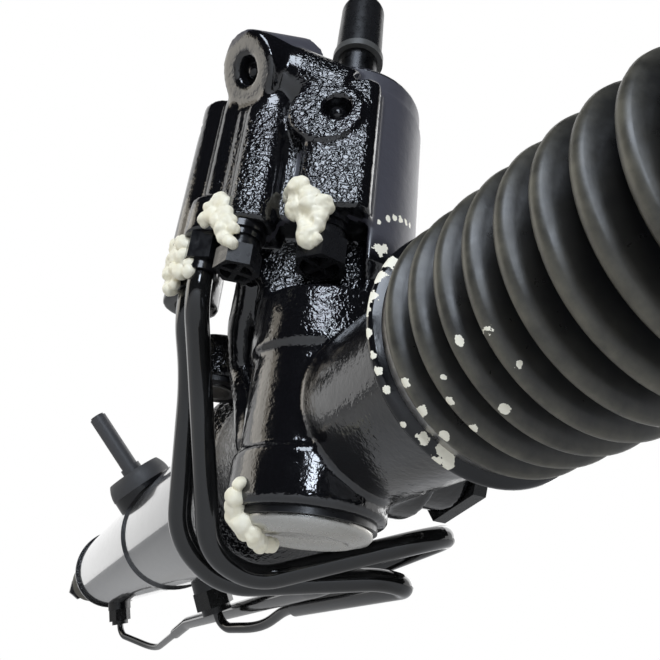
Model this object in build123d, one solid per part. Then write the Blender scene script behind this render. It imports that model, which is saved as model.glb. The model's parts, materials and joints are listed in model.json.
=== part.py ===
from build123d import *
import math
import os

# Hydraulic power steering rack. Sizes are in millimetres.
# While it is modelled, X runs along the rack towards the near tie rod, Z runs up the pinion,
# and the origin is where the pinion's centre plane meets the rack's axis.
# At the end every piece is moved so that the origin is the centre of the near mounting bore.

os.makedirs("parts", exist_ok=True)

# Clearances
FIT = 0.05            # running fit, on the radius
SEAT_GAP = 0.3        # between soft or curved pieces that only lie against each other

# Rack bar and travel
RACK_R = 13.0
TRAVEL = 70.0
STOP_GAP = 2.0

# Pinion teeth
MODULE = 2.0
PINION_TEETH = 7
PROFILE_SHIFT = 0.5
PRESSURE_ANGLE = 20.0
HELIX_ANGLE = 12.0
TOOTH_BACKLASH = 0.16
PINION_FACE = 24.0

# Pinion position, from the rack's axis
PINION_Y = -11.4

# Rack housing
NECK_R = 22.2
MOUTH_X = 60.0
NECK_INSIDE = 12.0
NECK_BORE_R = 16.5
BARREL_R = 20.6
BARREL_BOTTOM_Z = -27.0
BARREL_STEP_Z = -13.8
BARREL_WAIST = 1.4
SEAM_Z = 27.0
BODY_R = 26.0
BODY_START_X = -14.0
COLLAR_R = 32.0
COLLAR_LENGTH = 24.0
COLLAR_X = -66.0
YOKE_BOSS_R = 21.5
YOKE_BOSS_END_Y = 18.0

# Yoke, on the far side of the rack from the pinion
YOKE_R = 14.0
YOKE_BACK_Y = 20.0
YOKE_SPRING_R = 9.0
YOKE_WIRE_R = 1.3
YOKE_PLUG_Y = 26.5
YOKE_NUT_TURN = 18.0
YOKE_NUT_THICK = 4.0
YOKE_NUT_AF = 34.5
YOKE_NECK_WALL = 3.2
YOKE_PLUG_LENGTH = 9.0

# Valve housing
TOWER_R = 23.8
TOWER_TOP_Z = 108.6
TOWER_RIM = 9.0
TOWER_BORE_R = 13.5
SHAFT_SEAL_R = 14.0
SHANK_BORE_R = 8.6
RECESS_U = 11.5
RECESS_FLOOR_Z = 31.0
BLOCK_TURN = 30.0
BLOCK_TOP_Z = 97.0
BLOCK_BOTTOM_Z = 50.0
ROUGH_BOTTOM_Z = 46.5
BLOCK_FRONT = 28.0
PORT_U = 20.0
RETURN_V = -0.8
PRESSURE_V = -23.4
PORT_HOLE_R = 5.0
PORT_DEPTH = 14.0
PLUG_NECK = 3.0
RETURN_PLUG_AF = 13.0
PRESSURE_PLUG_AF = 11.0
RETURN_RING_R = 7.2
PRESSURE_RING_R = 6.5
RING_DROP = 4.0
RETURN_PLUG_Z = 35.3
PRESSURE_PLUG_Z = 33.2
RETURN_PLUG_TURN = 10.0
PRESSURE_PLUG_TURN = -12.0
BALL_R = 3.9
BALL_HOLE_R = 4.1
BALL_HOLE_DEPTH = 5.0
UPPER_BOSS_END = Vector(10.1, -51.1, 99.8)
UPPER_BOSS_DIR = Vector(0.25, -0.80, -0.55).normalized()
UPPER_BOSS_R = 11.8
UPPER_BOSS_LENGTH = 24.0
UPPER_BOSS_ROOT = (17, -20, 95)
FRONT_BOSS_R = 11.0
FRONT_BOSS_V = -3.2
FRONT_BOSS_Z = 83.0
FRONT_BALL_V = 0.1
FRONT_BALL_Z = 84.3
FRONT_BOSS_PROUD = 1.5
LEFT_COLUMN = (6.0, -40.5)
LEFT_COLUMN_R = 8.2
MIDDLE_COLUMN = (13.0, -33.0)
MIDDLE_COLUMN_R = 6.5
SIDE_BALL_Z = 94.0
PIPE_PORT_R = 7.0
NEAR_PIPE_PORT = (14.0, -35.2)
FAR_PIPE_PORT = (4.0, -41.0)
EAR = (-14.0, -47.5)
EAR_R = 9.0
EAR_HOLE_R = 3.8
EAR_Z = 40.0
EAR_THICK = 13.0
PIPE_NUT_TOP_Z = 47.0
PIPE_NUT_BOTTOM_Z = 35.5

# Stack on the pinion's axis, from the bottom
CAP_SPIGOT = 5.0
CAP_THICK = 5.0
LOWER_BEARING_Z = BARREL_BOTTOM_Z + CAP_SPIGOT
LOWER_BEARING_R = 14.0
LOWER_JOURNAL_R = 6.0
FACE_TOP_Z = PINION_FACE / 2
UPPER_BEARING_Z = 15.0
UPPER_BEARING_R = 15.0
UPPER_BEARING_WIDTH = 7.0
UPPER_JOURNAL_R = 8.0
PINION_CORE_R = 5.4
PINION_SEAL_Z = UPPER_BEARING_Z + UPPER_BEARING_WIDTH
VALVE_BORE_Z = 52.0
VALVE_SLEEVE_R = TOWER_BORE_R - FIT
INPUT_VALVE_R = 9.2
SLEEVE_BASE_Z = 56.0
SLEEVE_TOP_Z = 88.5
INPUT_BASE_Z = 63.0
SEAL_SEAT_Z = 91.0
SHAFT_BEARING_WIDTH = 6.0
SHAFT_SEAL_WIDTH = 6.0
CIRCLIP_WIDTH = 1.6
CIRCLIP_Z = SEAL_SEAT_Z + SHAFT_BEARING_WIDTH + SHAFT_SEAL_WIDTH
CIRCLIP_R = SHAFT_SEAL_R + 1.0

# Cylinder
TUBE_R = 28.3
TUBE_WALL = 3.5
FAR_END_X = -480.0
FAR_HOUSING_LENGTH = 30.0
NEAR_SEAL_X = -150.0
FAR_SEAL_X = -455.0
SEAL_WIDTH = 10.0
SEAL_OUT_R = 19.0
PISTON_WIDTH = 18.0
RING_X = -221.5
RING_WIDTH = 6.0
RING_PROUD = 1.2

# Hydraulic pipes
PIPE_R = 2.3
SLEEVE_WALL = 1.2
PIPE_BORE_R = 1.6
NUT_LENGTH = 11.0
NEAR_PORT_X = -183.4
FAR_PORT_X = -437.7
NEAR_PORT_TURN = 26.3
FAR_PORT_TURN = 15.7
PORT_BOSS_R = 8.5
PORT_BOSS_RISE = 4.5
NEAR_NUT_AF = 16.0
FAR_NUT_AF = 14.0
VALVE_NUT_AF = 11.0

# Mounts
MOUNT_X = -44.0
MOUNT_Y = -31.0
MOUNT_Z = 26.0
MOUNT_HEIGHT = 14.0
LUG_R = 11.5
BUSH_R = 8.5
SLEEVE_OUT_R = 6.5
MOUNT_BORE_R = 5.1
FAR_MOUNT_X = -229.0
FAR_MOUNT_TURN = 45.0
SADDLE_R = 17.0
DOME_R = 15.0
DOME_RISE = 13.0
STUD_R = 4.5
STUD_FOOT_R = 5.5
STUD_OUT = 34.0

# Input shaft
INPUT_R = 8.2
SPLINE_R = 7.0
SPLINE_TEETH = 24
SHAFT_TOP_Z = 160.0
CAP_R = 8.3
CAP_TOP_Z = 164.0
CAP_BOTTOM_Z = 137.0
TORSION_R = 3.0

# Inner ball joints, tie rods and bellows
SOCKET_R = 15.0
SOCKET_LENGTH = 38.0
BALL_JOINT_R = 10.5
SWING_AXIS = Rot(90, 0, 0)
BALL_JOINT_IN = 22.0
TIE_ROD_R = 7.0
TIE_ROD_LENGTH = 190.0
TIE_THREAD_R = 7.0
TIE_THREAD_LENGTH = 62.0
NUT_THREAD_R = 6.8
FREE_THREAD = 26.0
LOCK_NUT_AF = 22.0
LOCK_NUT_LENGTH = 11.0
BELLOWS_LENGTH = 150.0
BELLOWS_BIG_R = 27.4
BELLOWS_SMALL_R = 19.6
BELLOWS_PITCH = 7.4
BELLOWS_DEPTH = 4.6
BELLOWS_WALL = 1.3
CUFF_SEAT_R = 21.2
LIP_WIDTH = 2.2
LIP_R = 27.4
CLAMP_SEAT_R = 24.2
FIRST_CREST = 7.0
SMALL_CUFF_WIDTH = 10.0
CLAMP_WIDTH = 3.2
CLAMP_WALL = 0.9
CLAMP_EAR_TURN = -45.0

# Worked out from the sizes above
PITCH_R = MODULE * PINION_TEETH / 2
PITCH_GAP = PITCH_R + PROFILE_SHIFT * MODULE
RACK_PITCH_Y = PINION_Y + PITCH_GAP
RACK_TIP_Y = RACK_PITCH_Y - MODULE
RACK_ROOT_Y = RACK_PITCH_Y + 1.25 * MODULE
NEAR_RACK_END_X = MOUTH_X + TRAVEL + STOP_GAP
FAR_RACK_END_X = FAR_END_X - TRAVEL - STOP_GAP
PISTON_X = (NEAR_SEAL_X + FAR_SEAL_X) / 2
BORE_R = TUBE_R - TUBE_WALL
SLEEVE_R = PIPE_R + SLEEVE_WALL
PINION_AXIS = Pos(0, PINION_Y, 0)
BLOCK = PINION_AXIS * Rot(0, 0, -BLOCK_TURN)


def rod(radius, start, end):
    """A round bar from one point to another."""
    a, b = Vector(*start), Vector(*end)
    plane = Plane(origin=a, z_dir=(b - a).normalized())
    return plane * extrude(Circle(radius), (b - a).length)


def along_x(radius, x0, x1):
    """A round bar on the rack's axis."""
    return Plane(origin=(x0, 0, 0), z_dir=(1, 0, 0)) * extrude(Circle(radius), x1 - x0)


def along_z(radius, z0, z1):
    """A round bar on the pinion's axis."""
    return Pos(0, PINION_Y, z0) * extrude(Circle(radius), z1 - z0)


def turned_x(profile):
    """A piece turned on the rack's axis from (x, radius) points."""
    face = make_face(Polyline(*[(x, r) for x, r in profile], close=True))
    return revolve(face, Axis.X)


def turned_z(profile):
    """A piece turned on the pinion's axis from (radius, z) points."""
    face = Plane.XZ * make_face(Polyline(*[(r, z) for r, z in profile], close=True))
    return PINION_AXIS * revolve(face, Axis.Z)


def hexagon(across_flats):
    """A hexagon with its flats this far apart."""
    return RegularPolygon(across_flats / 2, 6, major_radius=False)


def rounded_box(u0, u1, v0, v1, z0, z1, radius):
    """A block with its four upright edges rounded."""
    outline = Pos((u0 + u1) / 2, (v0 + v1) / 2) * RectangleRounded(u1 - u0, v1 - v0, radius)
    return Pos(0, 0, z0) * extrude(outline, z1 - z0)


def port_direction(angle):
    """Outward direction of a cylinder port, turned from straight down."""
    return Vector(0, math.sin(math.radians(angle)), -math.cos(math.radians(angle)))


def at(x, direction, distance):
    """A point this far out from the rack's axis."""
    return (x, direction.Y * distance, direction.Z * distance)


def block_point(u, v, z):
    """A point of the valve block's own frame, in the rack's frame."""
    angle = math.radians(BLOCK_TURN)
    x = u * math.cos(angle) + v * math.sin(angle)
    y = PINION_Y - u * math.sin(angle) + v * math.cos(angle)
    return (x, y, z)


# Ports, stud and pipe routes, in the rack's frame
NEAR_PORT = port_direction(NEAR_PORT_TURN)
FAR_PORT = port_direction(FAR_PORT_TURN)
STUD_DIR = Vector(0, -math.sin(math.radians(FAR_MOUNT_TURN)), math.cos(math.radians(FAR_MOUNT_TURN)))
TUBE_END_X = FAR_END_X + FAR_HOUSING_LENGTH - 8
NUT_OUT = TUBE_R + PORT_BOSS_RISE + NUT_LENGTH
NUT_STUB = 7.5
LONG_ROUTE = [
    block_point(*NEAR_PIPE_PORT, PIPE_NUT_BOTTOM_Z - NUT_STUB), (-22.5, -41, 15), (-40.5, -24.5, -32.5),
    (-43.5, -8.5, -38), (-19, 33.5, -22.3), (-23.5, 48, -17.5), (-77, 28, -32.5), (-290, 31, -41),
    (-392, 34.5, -57), at(FAR_PORT_X, FAR_PORT, NUT_OUT + NUT_STUB),
]
SHORT_ROUTE = [
    block_point(*FAR_PIPE_PORT, PIPE_NUT_BOTTOM_Z - NUT_STUB), (-31.5, -41.5, 15), (-50.5, -32.5, -28.5),
    (-55, -15, -39.5), (-36, 29.5, -32.6), (-38, 40.8, -33.2), (-131, 34.8, -37.8), (-156, 33.5, -44.8),
    at(NEAR_PORT_X, NEAR_PORT, NUT_OUT + NUT_STUB),
]
LONG_SLEEVE = (8, -325.0)
SHORT_SLEEVE = (6, -121.0)
WIDEST_BEND = 60.0
BEND_SHARE = 0.45


def upper_boss_plane():
    """The face of the slanting boss, looking outwards."""
    return Plane(origin=UPPER_BOSS_END, z_dir=UPPER_BOSS_DIR)


def side_ball_point():
    """Where the ball plug in the left column's side sits, in the block's own frame."""
    return Vector(LEFT_COLUMN[0], LEFT_COLUMN[1] - LEFT_COLUMN_R, SIDE_BALL_Z)


def ball_seats():
    """Mouth and direction of each cross-drilling that a ball closes."""
    front = Plane(origin=(BLOCK_FRONT + FRONT_BOSS_PROUD, FRONT_BALL_V, FRONT_BALL_Z), z_dir=(1, 0, 0))
    side = Plane(origin=side_ball_point(), z_dir=(0, -1, 0))
    return [BLOCK * front.location, BLOCK * side.location, upper_boss_plane().location]


def valve_block():
    """The ported block on the tower's side, before its holes."""
    right = rounded_box(5, BLOCK_FRONT, -9.5, 12, BLOCK_BOTTOM_Z, BLOCK_TOP_Z, 4)
    rough = rounded_box(2, BLOCK_FRONT - 1, -28.5, -14.5, ROUGH_BOTTOM_Z, BLOCK_TOP_Z + 3, 5)
    web = rounded_box(-4, BLOCK_FRONT - 6, -32, 0, BLOCK_BOTTOM_Z, BLOCK_TOP_Z, 3)
    back_web = rounded_box(-4, 12, -40, 0, PIPE_NUT_TOP_Z, BLOCK_TOP_Z + 4, 3)
    left = Pos(*LEFT_COLUMN, PIPE_NUT_TOP_Z) * extrude(Circle(LEFT_COLUMN_R), 56)
    middle = Pos(*MIDDLE_COLUMN, PIPE_NUT_TOP_Z) * extrude(Circle(MIDDLE_COLUMN_R), 53)
    boss = Plane(origin=(10, FRONT_BOSS_V, FRONT_BOSS_Z), z_dir=(1, 0, 0)) * extrude(
        Circle(FRONT_BOSS_R), BLOCK_FRONT + FRONT_BOSS_PROUD - 10
    )
    near_port = Pos(*NEAR_PIPE_PORT, PIPE_NUT_TOP_Z) * extrude(Circle(PIPE_PORT_R), 12)
    far_port = Pos(*FAR_PIPE_PORT, PIPE_NUT_TOP_Z) * extrude(Circle(PIPE_PORT_R), 12)
    ear_end = Pos(*EAR) * Circle(EAR_R - 1)
    column_end = Pos(*LEFT_COLUMN) * Circle(LEFT_COLUMN_R - 1)
    arm = make_hull(ear_end.edges() + column_end.edges())
    ear = Pos(*EAR, EAR_Z) * (extrude(Circle(EAR_R), EAR_THICK) - extrude(Circle(EAR_HOLE_R), EAR_THICK / 2))
    ear += Pos(0, 0, PIPE_NUT_TOP_Z) * extrude(arm, EAR_Z + EAR_THICK - PIPE_NUT_TOP_Z)
    pieces = [rough, web, back_web, left, middle, boss, near_port, far_port, ear]
    return right + pieces


def upper_boss():
    """The slanting boss at the block's top corner and the gallery behind it."""
    slant = upper_boss_plane() * extrude(Circle(UPPER_BOSS_R), -UPPER_BOSS_LENGTH)
    knee = UPPER_BOSS_END - UPPER_BOSS_DIR * (UPPER_BOSS_R * 0.9)
    gallery = rod(UPPER_BOSS_R - 1.2, tuple(knee), UPPER_BOSS_ROOT)
    return slant + gallery


def valve_housing():
    rim_z = TOWER_TOP_Z - TOWER_RIM
    tower = turned_z([
        (0, SEAM_Z), (BARREL_R, SEAM_Z), (BARREL_R, SEAM_Z + 8), (TOWER_R, SEAM_Z + 12),
        (TOWER_R, rim_z), (TOWER_R - 0.7, rim_z + 0.7), (TOWER_R - 0.7, TOWER_TOP_Z - 1.2),
        (TOWER_R - 1.9, TOWER_TOP_Z), (0, TOWER_TOP_Z),
    ])
    recess = BLOCK * rounded_box(RECESS_U, 40, -34, 11, RECESS_FLOOR_Z, BLOCK_BOTTOM_Z + 1, 3)
    body = tower - recess + BLOCK * valve_block() + upper_boss()
    body -= along_z(TOWER_BORE_R, VALVE_BORE_Z, SEAL_SEAT_Z)
    body -= along_z(SHAFT_SEAL_R, SEAL_SEAT_Z - 1, TOWER_TOP_Z + 1)
    body -= along_z(CIRCLIP_R, CIRCLIP_Z, CIRCLIP_Z + CIRCLIP_WIDTH)
    body -= along_z(SHANK_BORE_R, SEAM_Z - 1, VALVE_BORE_Z + 1)
    for v, bottom in ((RETURN_V, BLOCK_BOTTOM_Z), (PRESSURE_V, ROUGH_BOTTOM_Z)):
        body -= BLOCK * Pos(PORT_U, v, bottom - 1) * extrude(Circle(PORT_HOLE_R), PORT_DEPTH + 1)
    for u, v in (NEAR_PIPE_PORT, FAR_PIPE_PORT):
        body -= BLOCK * Pos(u, v, PIPE_NUT_TOP_Z - 1) * extrude(Circle(PIPE_R + FIT), 9)
    body -= upper_boss_plane() * extrude(Circle(UPPER_BOSS_R - 0.5), 9)
    for seat in ball_seats():
        body -= seat * extrude(Circle(BALL_HOLE_R), -BALL_HOLE_DEPTH)
    return body


def ball_plugs():
    """Steel balls pressed into the cross-drillings."""
    depth = BALL_HOLE_DEPTH - BALL_R
    return [seat * Pos(0, 0, -depth) * Sphere(BALL_R) for seat in ball_seats()]


def port_adapter(v, bottom_z, ring_r):
    """A stepped seat ring in the mouth of a port."""
    ring = extrude(Circle(ring_r), -RING_DROP / 2) + extrude(Circle(ring_r - 0.7), -RING_DROP)
    ring -= Pos(0, 0, 1) * extrude(Circle(PORT_HOLE_R + FIT), -RING_DROP - 2)
    return BLOCK * Pos(PORT_U, v, bottom_z) * ring


def port_plug(v, bottom_z, across_flats, underside_z, turned):
    """A hollow plastic transit plug with a cross of ribs under its hexagon."""
    top = bottom_z - RING_DROP
    hex_top = top - PLUG_NECK
    head = Pos(0, 0, underside_z) * Rot(0, 0, turned) * extrude(hexagon(across_flats), hex_top - underside_z)
    collar = Pos(0, 0, hex_top) * extrude(Circle(across_flats / 2 - 0.4), PLUG_NECK)
    stem = Pos(0, 0, top) * extrude(Circle(PORT_HOLE_R - FIT), PORT_DEPTH - 3 + RING_DROP)
    pocket = Pos(0, 0, underside_z) * extrude(Circle(across_flats / 2 - 1.1), 4.5)
    ribs = Rot(0, 0, 45 + turned) * (Box(across_flats, 1.5, 5.2) + Box(1.5, across_flats, 5.2))
    cut = pocket - Pos(0, 0, underside_z + 2.6) * ribs
    return BLOCK * Pos(PORT_U, v, 0) * (head + collar + stem - cut)


def near_lug():
    """The ear with the near mounting bore and the arm that joins it to the casting."""
    low = MOUNT_Z - MOUNT_HEIGHT / 2
    eye = Pos(MOUNT_X, MOUNT_Y, low) * extrude(Circle(LUG_R), MOUNT_HEIGHT)
    arm = make_hull((Pos(MOUNT_X, MOUNT_Y) * Circle(LUG_R - 1.5)).edges()
                    + (Pos(MOUNT_X + 14, -8) * Circle(13)).edges())
    return eye + Pos(0, 0, low + 0.5) * extrude(arm, SEAM_Z - low - 1)


def rack_housing():
    """The casting that holds the rack, the pinion's foot, the yoke and the near mount."""
    neck_end = MOUTH_X + NECK_INSIDE
    along = turned_x([
        (COLLAR_X - COLLAR_LENGTH / 2, 0), (COLLAR_X - COLLAR_LENGTH / 2, COLLAR_R - 1),
        (COLLAR_X - COLLAR_LENGTH / 2 + 1, COLLAR_R), (COLLAR_X + COLLAR_LENGTH / 2 - 3, COLLAR_R),
        (COLLAR_X + COLLAR_LENGTH / 2 + 4, BODY_R), (BODY_START_X - 4, BODY_R),
        (BODY_START_X + 6, NECK_R), (MOUTH_X - SEAT_GAP, NECK_R),
        (MOUTH_X - SEAT_GAP, CUFF_SEAT_R), (neck_end, CUFF_SEAT_R), (neck_end, 0),
    ])
    barrel = turned_z([
        (0, BARREL_BOTTOM_Z), (BARREL_R - 1, BARREL_BOTTOM_Z), (BARREL_R, BARREL_BOTTOM_Z + 1),
        (BARREL_R, BARREL_STEP_Z), (BARREL_R - BARREL_WAIST, BARREL_STEP_Z + BARREL_WAIST),
        (BARREL_R - BARREL_WAIST, SEAM_Z - 14), (BARREL_R, SEAM_Z - 12), (BARREL_R, SEAM_Z), (0, SEAM_Z),
    ])
    yoke_boss = rod(YOKE_BOSS_R, (0, 0, 0), (0, YOKE_BOSS_END_Y, 0))
    yoke_boss += rod(YOKE_R + YOKE_NECK_WALL, (0, YOKE_BOSS_END_Y, 0), (0, YOKE_PLUG_Y + 3, 0))
    body = along + barrel + yoke_boss + near_lug()
    body -= along_x(NECK_BORE_R, COLLAR_X, neck_end + 1)
    body -= along_x(TUBE_R + FIT / 5, COLLAR_X - COLLAR_LENGTH, COLLAR_X)
    body -= along_z(LOWER_BEARING_R, BARREL_BOTTOM_Z - 1, FACE_TOP_Z)
    body -= along_z(UPPER_BEARING_R, UPPER_BEARING_Z, SEAM_Z + 1)
    body -= along_z(UPPER_BEARING_R - 2, FACE_TOP_Z - 1, UPPER_BEARING_Z + 1)
    body -= rod(YOKE_R + FIT, (0, 0, 0), (0, YOKE_PLUG_Y + 4, 0))
    bush_hole = Pos(MOUNT_X, MOUNT_Y, MOUNT_Z - MOUNT_HEIGHT) * extrude(Circle(BUSH_R), MOUNT_HEIGHT * 2)
    return body - bush_hole


def bottom_cap():
    """The screwed cap under the lower bearing, with a hexagon to turn it."""
    flange_r = LOWER_BEARING_R + 3.2
    low = BARREL_BOTTOM_Z - CAP_THICK
    cap = turned_z([
        (0, low), (flange_r - 4, low), (flange_r, low + 2.2), (flange_r, BARREL_BOTTOM_Z - 1.6),
        (LOWER_BEARING_R - 0.6, BARREL_BOTTOM_Z - 1.6), (LOWER_BEARING_R - 0.6, LOWER_BEARING_Z), (0, LOWER_BEARING_Z),
    ])
    return cap + Pos(0, PINION_Y, low - 2.5) * extrude(hexagon(17), 3)


def bottom_cap_seal():
    """The square rubber ring between the cap and the barrel."""
    inner, outer = LOWER_BEARING_R - 0.6, LOWER_BEARING_R + 4.2
    return along_z(outer, BARREL_BOTTOM_Z - 1.6, BARREL_BOTTOM_Z) - along_z(
        inner, BARREL_BOTTOM_Z - 2, BARREL_BOTTOM_Z + 1)


def bearing(inner_r, outer_r, z0, z1):
    """A ball bearing drawn as one ring with a groove between its races."""
    ring = along_z(outer_r, z0, z1) - along_z(inner_r, z0 - 1, z1 + 1)
    middle = (inner_r + outer_r) / 2
    groove = along_z(middle + 1, z1 - 1, z1 + 1) - along_z(middle - 1, z1 - 2, z1 + 2)
    return ring - groove


def involute(base_r, start_angle, radius):
    """A point of the involute from base_r at a given radius."""
    roll = math.sqrt(max(radius * radius / (base_r * base_r) - 1, 0))
    angle = start_angle + roll - math.atan(roll)
    return radius * math.cos(angle), radius * math.sin(angle)


def pinion_profile():
    """The pinion's cross-section: involute flanks between root and tip circles."""
    alpha = math.radians(PRESSURE_ANGLE)
    base_r = PITCH_R * math.cos(alpha)
    tip_r = PITCH_R + MODULE * (1 + PROFILE_SHIFT)
    root_r = PITCH_R - MODULE * (1.25 - PROFILE_SHIFT)
    thickness = MODULE * (math.pi / 2 + 2 * PROFILE_SHIFT * math.tan(alpha)) - TOOTH_BACKLASH
    half = thickness / (2 * PITCH_R) + math.tan(alpha) - alpha
    steps = 5
    radii = [base_r + (tip_r - base_r) * i / steps for i in range(steps + 1)]
    points = []
    for tooth in range(PINION_TEETH):
        middle = 2 * math.pi * tooth / PINION_TEETH
        rising = [involute(base_r, 0, r) for r in radii]
        right = [turn(x, y, middle - half) for x, y in rising]
        left = [turn(x, -y, middle + half) for x, y in reversed(rising)]
        points.append((root_r * math.cos(middle - half), root_r * math.sin(middle - half)))
        points += right + left
        points.append((root_r * math.cos(middle + half), root_r * math.sin(middle + half)))
    return make_face(Polyline(*points, close=True))


def turn(x, y, angle):
    """A point turned about the origin."""
    return x * math.cos(angle) - y * math.sin(angle), x * math.sin(angle) + y * math.cos(angle)


def helix_turn():
    """How far the teeth turn over the pinion's face, in degrees."""
    return math.degrees(PINION_FACE * math.tan(math.radians(HELIX_ANGLE)) / PITCH_R)


def pinion():
    """Pinion with helical teeth, its journals and the flange that carries the valve sleeve."""
    section = (Rot(0, 0, 90 - helix_turn() / 2) * pinion_profile()).face()
    teeth = Solid.extrude_linear_with_rotation(
        section, center=(0, 0, 0), normal=(0, 0, PINION_FACE), angle=helix_turn()
    )
    teeth = Pos(0, PINION_Y, -FACE_TOP_Z) * teeth
    clear_z = RACK_R + 0.5
    journals = turned_z([
        (0, LOWER_BEARING_Z + 1), (LOWER_JOURNAL_R, LOWER_BEARING_Z + 1), (LOWER_JOURNAL_R, -clear_z),
        (PINION_CORE_R, -clear_z), (PINION_CORE_R, clear_z), (UPPER_JOURNAL_R, clear_z),
        (UPPER_JOURNAL_R, SLEEVE_BASE_Z - 3), (INPUT_VALVE_R + 1, SLEEVE_BASE_Z - 3),
        (INPUT_VALVE_R + 1, SLEEVE_BASE_Z + 2), (INPUT_VALVE_R - 1, SLEEVE_BASE_Z + 2),
        (INPUT_VALVE_R - 1, INPUT_BASE_Z - 1), (0, INPUT_BASE_Z - 1),
    ])
    return teeth + journals - along_z(TORSION_R, FACE_TOP_Z, INPUT_BASE_Z)


def rack_bar():
    """The rack bar with teeth cut across its flat, to mesh with the pinion."""
    pitch = math.pi * MODULE
    alpha = math.radians(PRESSURE_ANGLE)
    slope = math.tan(alpha)
    count = 2 * math.ceil((TRAVEL + 8) / pitch) + 1
    bar = along_x(RACK_R, FAR_RACK_END_X, NEAR_RACK_END_X)
    half_length = count * pitch / 2
    flat = Pos(0, RACK_TIP_Y - RACK_R, 0) * Box(2 * half_length, 2 * RACK_R, 2.2 * RACK_R)
    bar -= flat
    depth = RACK_ROOT_Y - RACK_TIP_Y
    bottom_half = pitch / 4 - 1.25 * MODULE * slope
    top_half = pitch / 4 + MODULE * slope
    lean = math.tan(math.radians(HELIX_ANGLE))
    gap = make_face(Polyline(
        (-top_half - slope, RACK_TIP_Y - 1), (top_half + slope, RACK_TIP_Y - 1),
        (bottom_half, RACK_TIP_Y + depth), (-bottom_half, RACK_TIP_Y + depth), close=True))
    height = 2.2 * RACK_R
    cutter = extrude(Pos(0, 0, -height / 2) * gap, height, dir=(lean, 0, 1))
    cutter = Pos(-lean * height / 2, 0, 0) * cutter
    for index in range(-(count // 2), count // 2 + 1):
        bar -= Pos(index * pitch, 0, 0) * cutter
    return bar



def valve_sleeve():
    """The ported sleeve round the input shaft's valve."""
    sleeve = along_z(VALVE_SLEEVE_R, SLEEVE_BASE_Z, SLEEVE_TOP_Z)
    sleeve -= along_z(INPUT_VALVE_R + FIT, SLEEVE_BASE_Z + 2, SLEEVE_TOP_Z + 1)
    sleeve -= along_z(INPUT_VALVE_R + 1 + FIT / 5, SLEEVE_BASE_Z - 1, SLEEVE_BASE_Z + 2)
    for level in range(4):
        z = SLEEVE_BASE_Z + 6 + level * 6.5
        sleeve -= along_z(TOWER_BORE_R + 1, z, z + 3) - along_z(VALVE_SLEEVE_R - 1.4, z - 1, z + 4)
    return sleeve


def input_shaft():
    """The hollow input shaft: valve at its foot, spline at its top."""
    shaft = turned_z([
        (0, INPUT_BASE_Z), (INPUT_VALVE_R, INPUT_BASE_Z), (INPUT_VALVE_R, SLEEVE_TOP_Z + 1),
        (INPUT_R, SLEEVE_TOP_Z + 2), (INPUT_R, TOWER_TOP_Z + 8), (SPLINE_R, TOWER_TOP_Z + 14),
        (SPLINE_R, SHAFT_TOP_Z - 1), (SPLINE_R - 1, SHAFT_TOP_Z), (0, SHAFT_TOP_Z),
    ])
    shaft -= along_z(TORSION_R + FIT, INPUT_BASE_Z - 1, TOWER_TOP_Z)
    groove = Pos(SPLINE_R, 0, CAP_BOTTOM_Z) * Rot(0, 0, 45) * extrude(Rectangle(0.7, 0.7), SHAFT_TOP_Z)
    grooves = [PINION_AXIS * Rot(0, 0, 360 * i / SPLINE_TEETH) * groove for i in range(SPLINE_TEETH)]
    return shaft - grooves


def shaft_cap():
    """The soft domed cap over the spline."""
    inner = SPLINE_R + 0.1
    dome = make_face(
        Line((0, CAP_TOP_Z), (3, CAP_TOP_Z))
        + ThreePointArc((3, CAP_TOP_Z), (CAP_R - 1.7, CAP_TOP_Z - 1.4), (CAP_R - 0.4, CAP_TOP_Z - 5))
        + Polyline((CAP_R - 0.4, CAP_TOP_Z - 5), (CAP_R, CAP_BOTTOM_Z), (inner, CAP_BOTTOM_Z),
                   (inner, SHAFT_TOP_Z + 0.3), (0, SHAFT_TOP_Z + 0.3), (0, CAP_TOP_Z)))
    return PINION_AXIS * revolve(Plane.XZ * dome, Axis.Z)


def shaft_collar():
    """The pale ring at the foot of the cap."""
    ring = along_z(CAP_R + 0.7, CAP_BOTTOM_Z - 2.6, CAP_BOTTOM_Z)
    return ring - along_z(SPLINE_R + 0.1, CAP_BOTTOM_Z - 4, CAP_BOTTOM_Z + 1)


def shaft_seal():
    ring = along_z(SHAFT_SEAL_R, SEAL_SEAT_Z + SHAFT_BEARING_WIDTH, CIRCLIP_Z)
    return ring - along_z(INPUT_R + FIT, SEAL_SEAT_Z, TOWER_TOP_Z)


def top_circlip():
    ring = along_z(CIRCLIP_R, CIRCLIP_Z, CIRCLIP_Z + CIRCLIP_WIDTH)
    ring -= along_z(CIRCLIP_R - 3, CIRCLIP_Z - 1, CIRCLIP_Z + 3)
    return ring - Pos(CIRCLIP_R, PINION_Y, CIRCLIP_Z + 1) * Box(12, 6, 6)


def pinion_seal():
    ring = along_z(UPPER_BEARING_R, PINION_SEAL_Z, SEAM_Z)
    return ring - along_z(UPPER_JOURNAL_R + FIT, PINION_SEAL_Z - 1, SEAM_Z + 1)


def yoke():
    """The pad that the spring presses against the rack's back."""
    pad = rod(YOKE_R, (0, 2, 0), (0, YOKE_BACK_Y, 0))
    pad -= along_x(RACK_R + FIT, -YOKE_R * 2, YOKE_R * 2)
    pad -= Pos(0, RACK_TIP_Y, 0) * Box(60, 2 * (3 - RACK_TIP_Y), 60)
    return pad - rod(YOKE_SPRING_R + YOKE_WIRE_R + 0.6, (0, YOKE_BACK_Y - 5, 0), (0, YOKE_BACK_Y + 1, 0))


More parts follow.
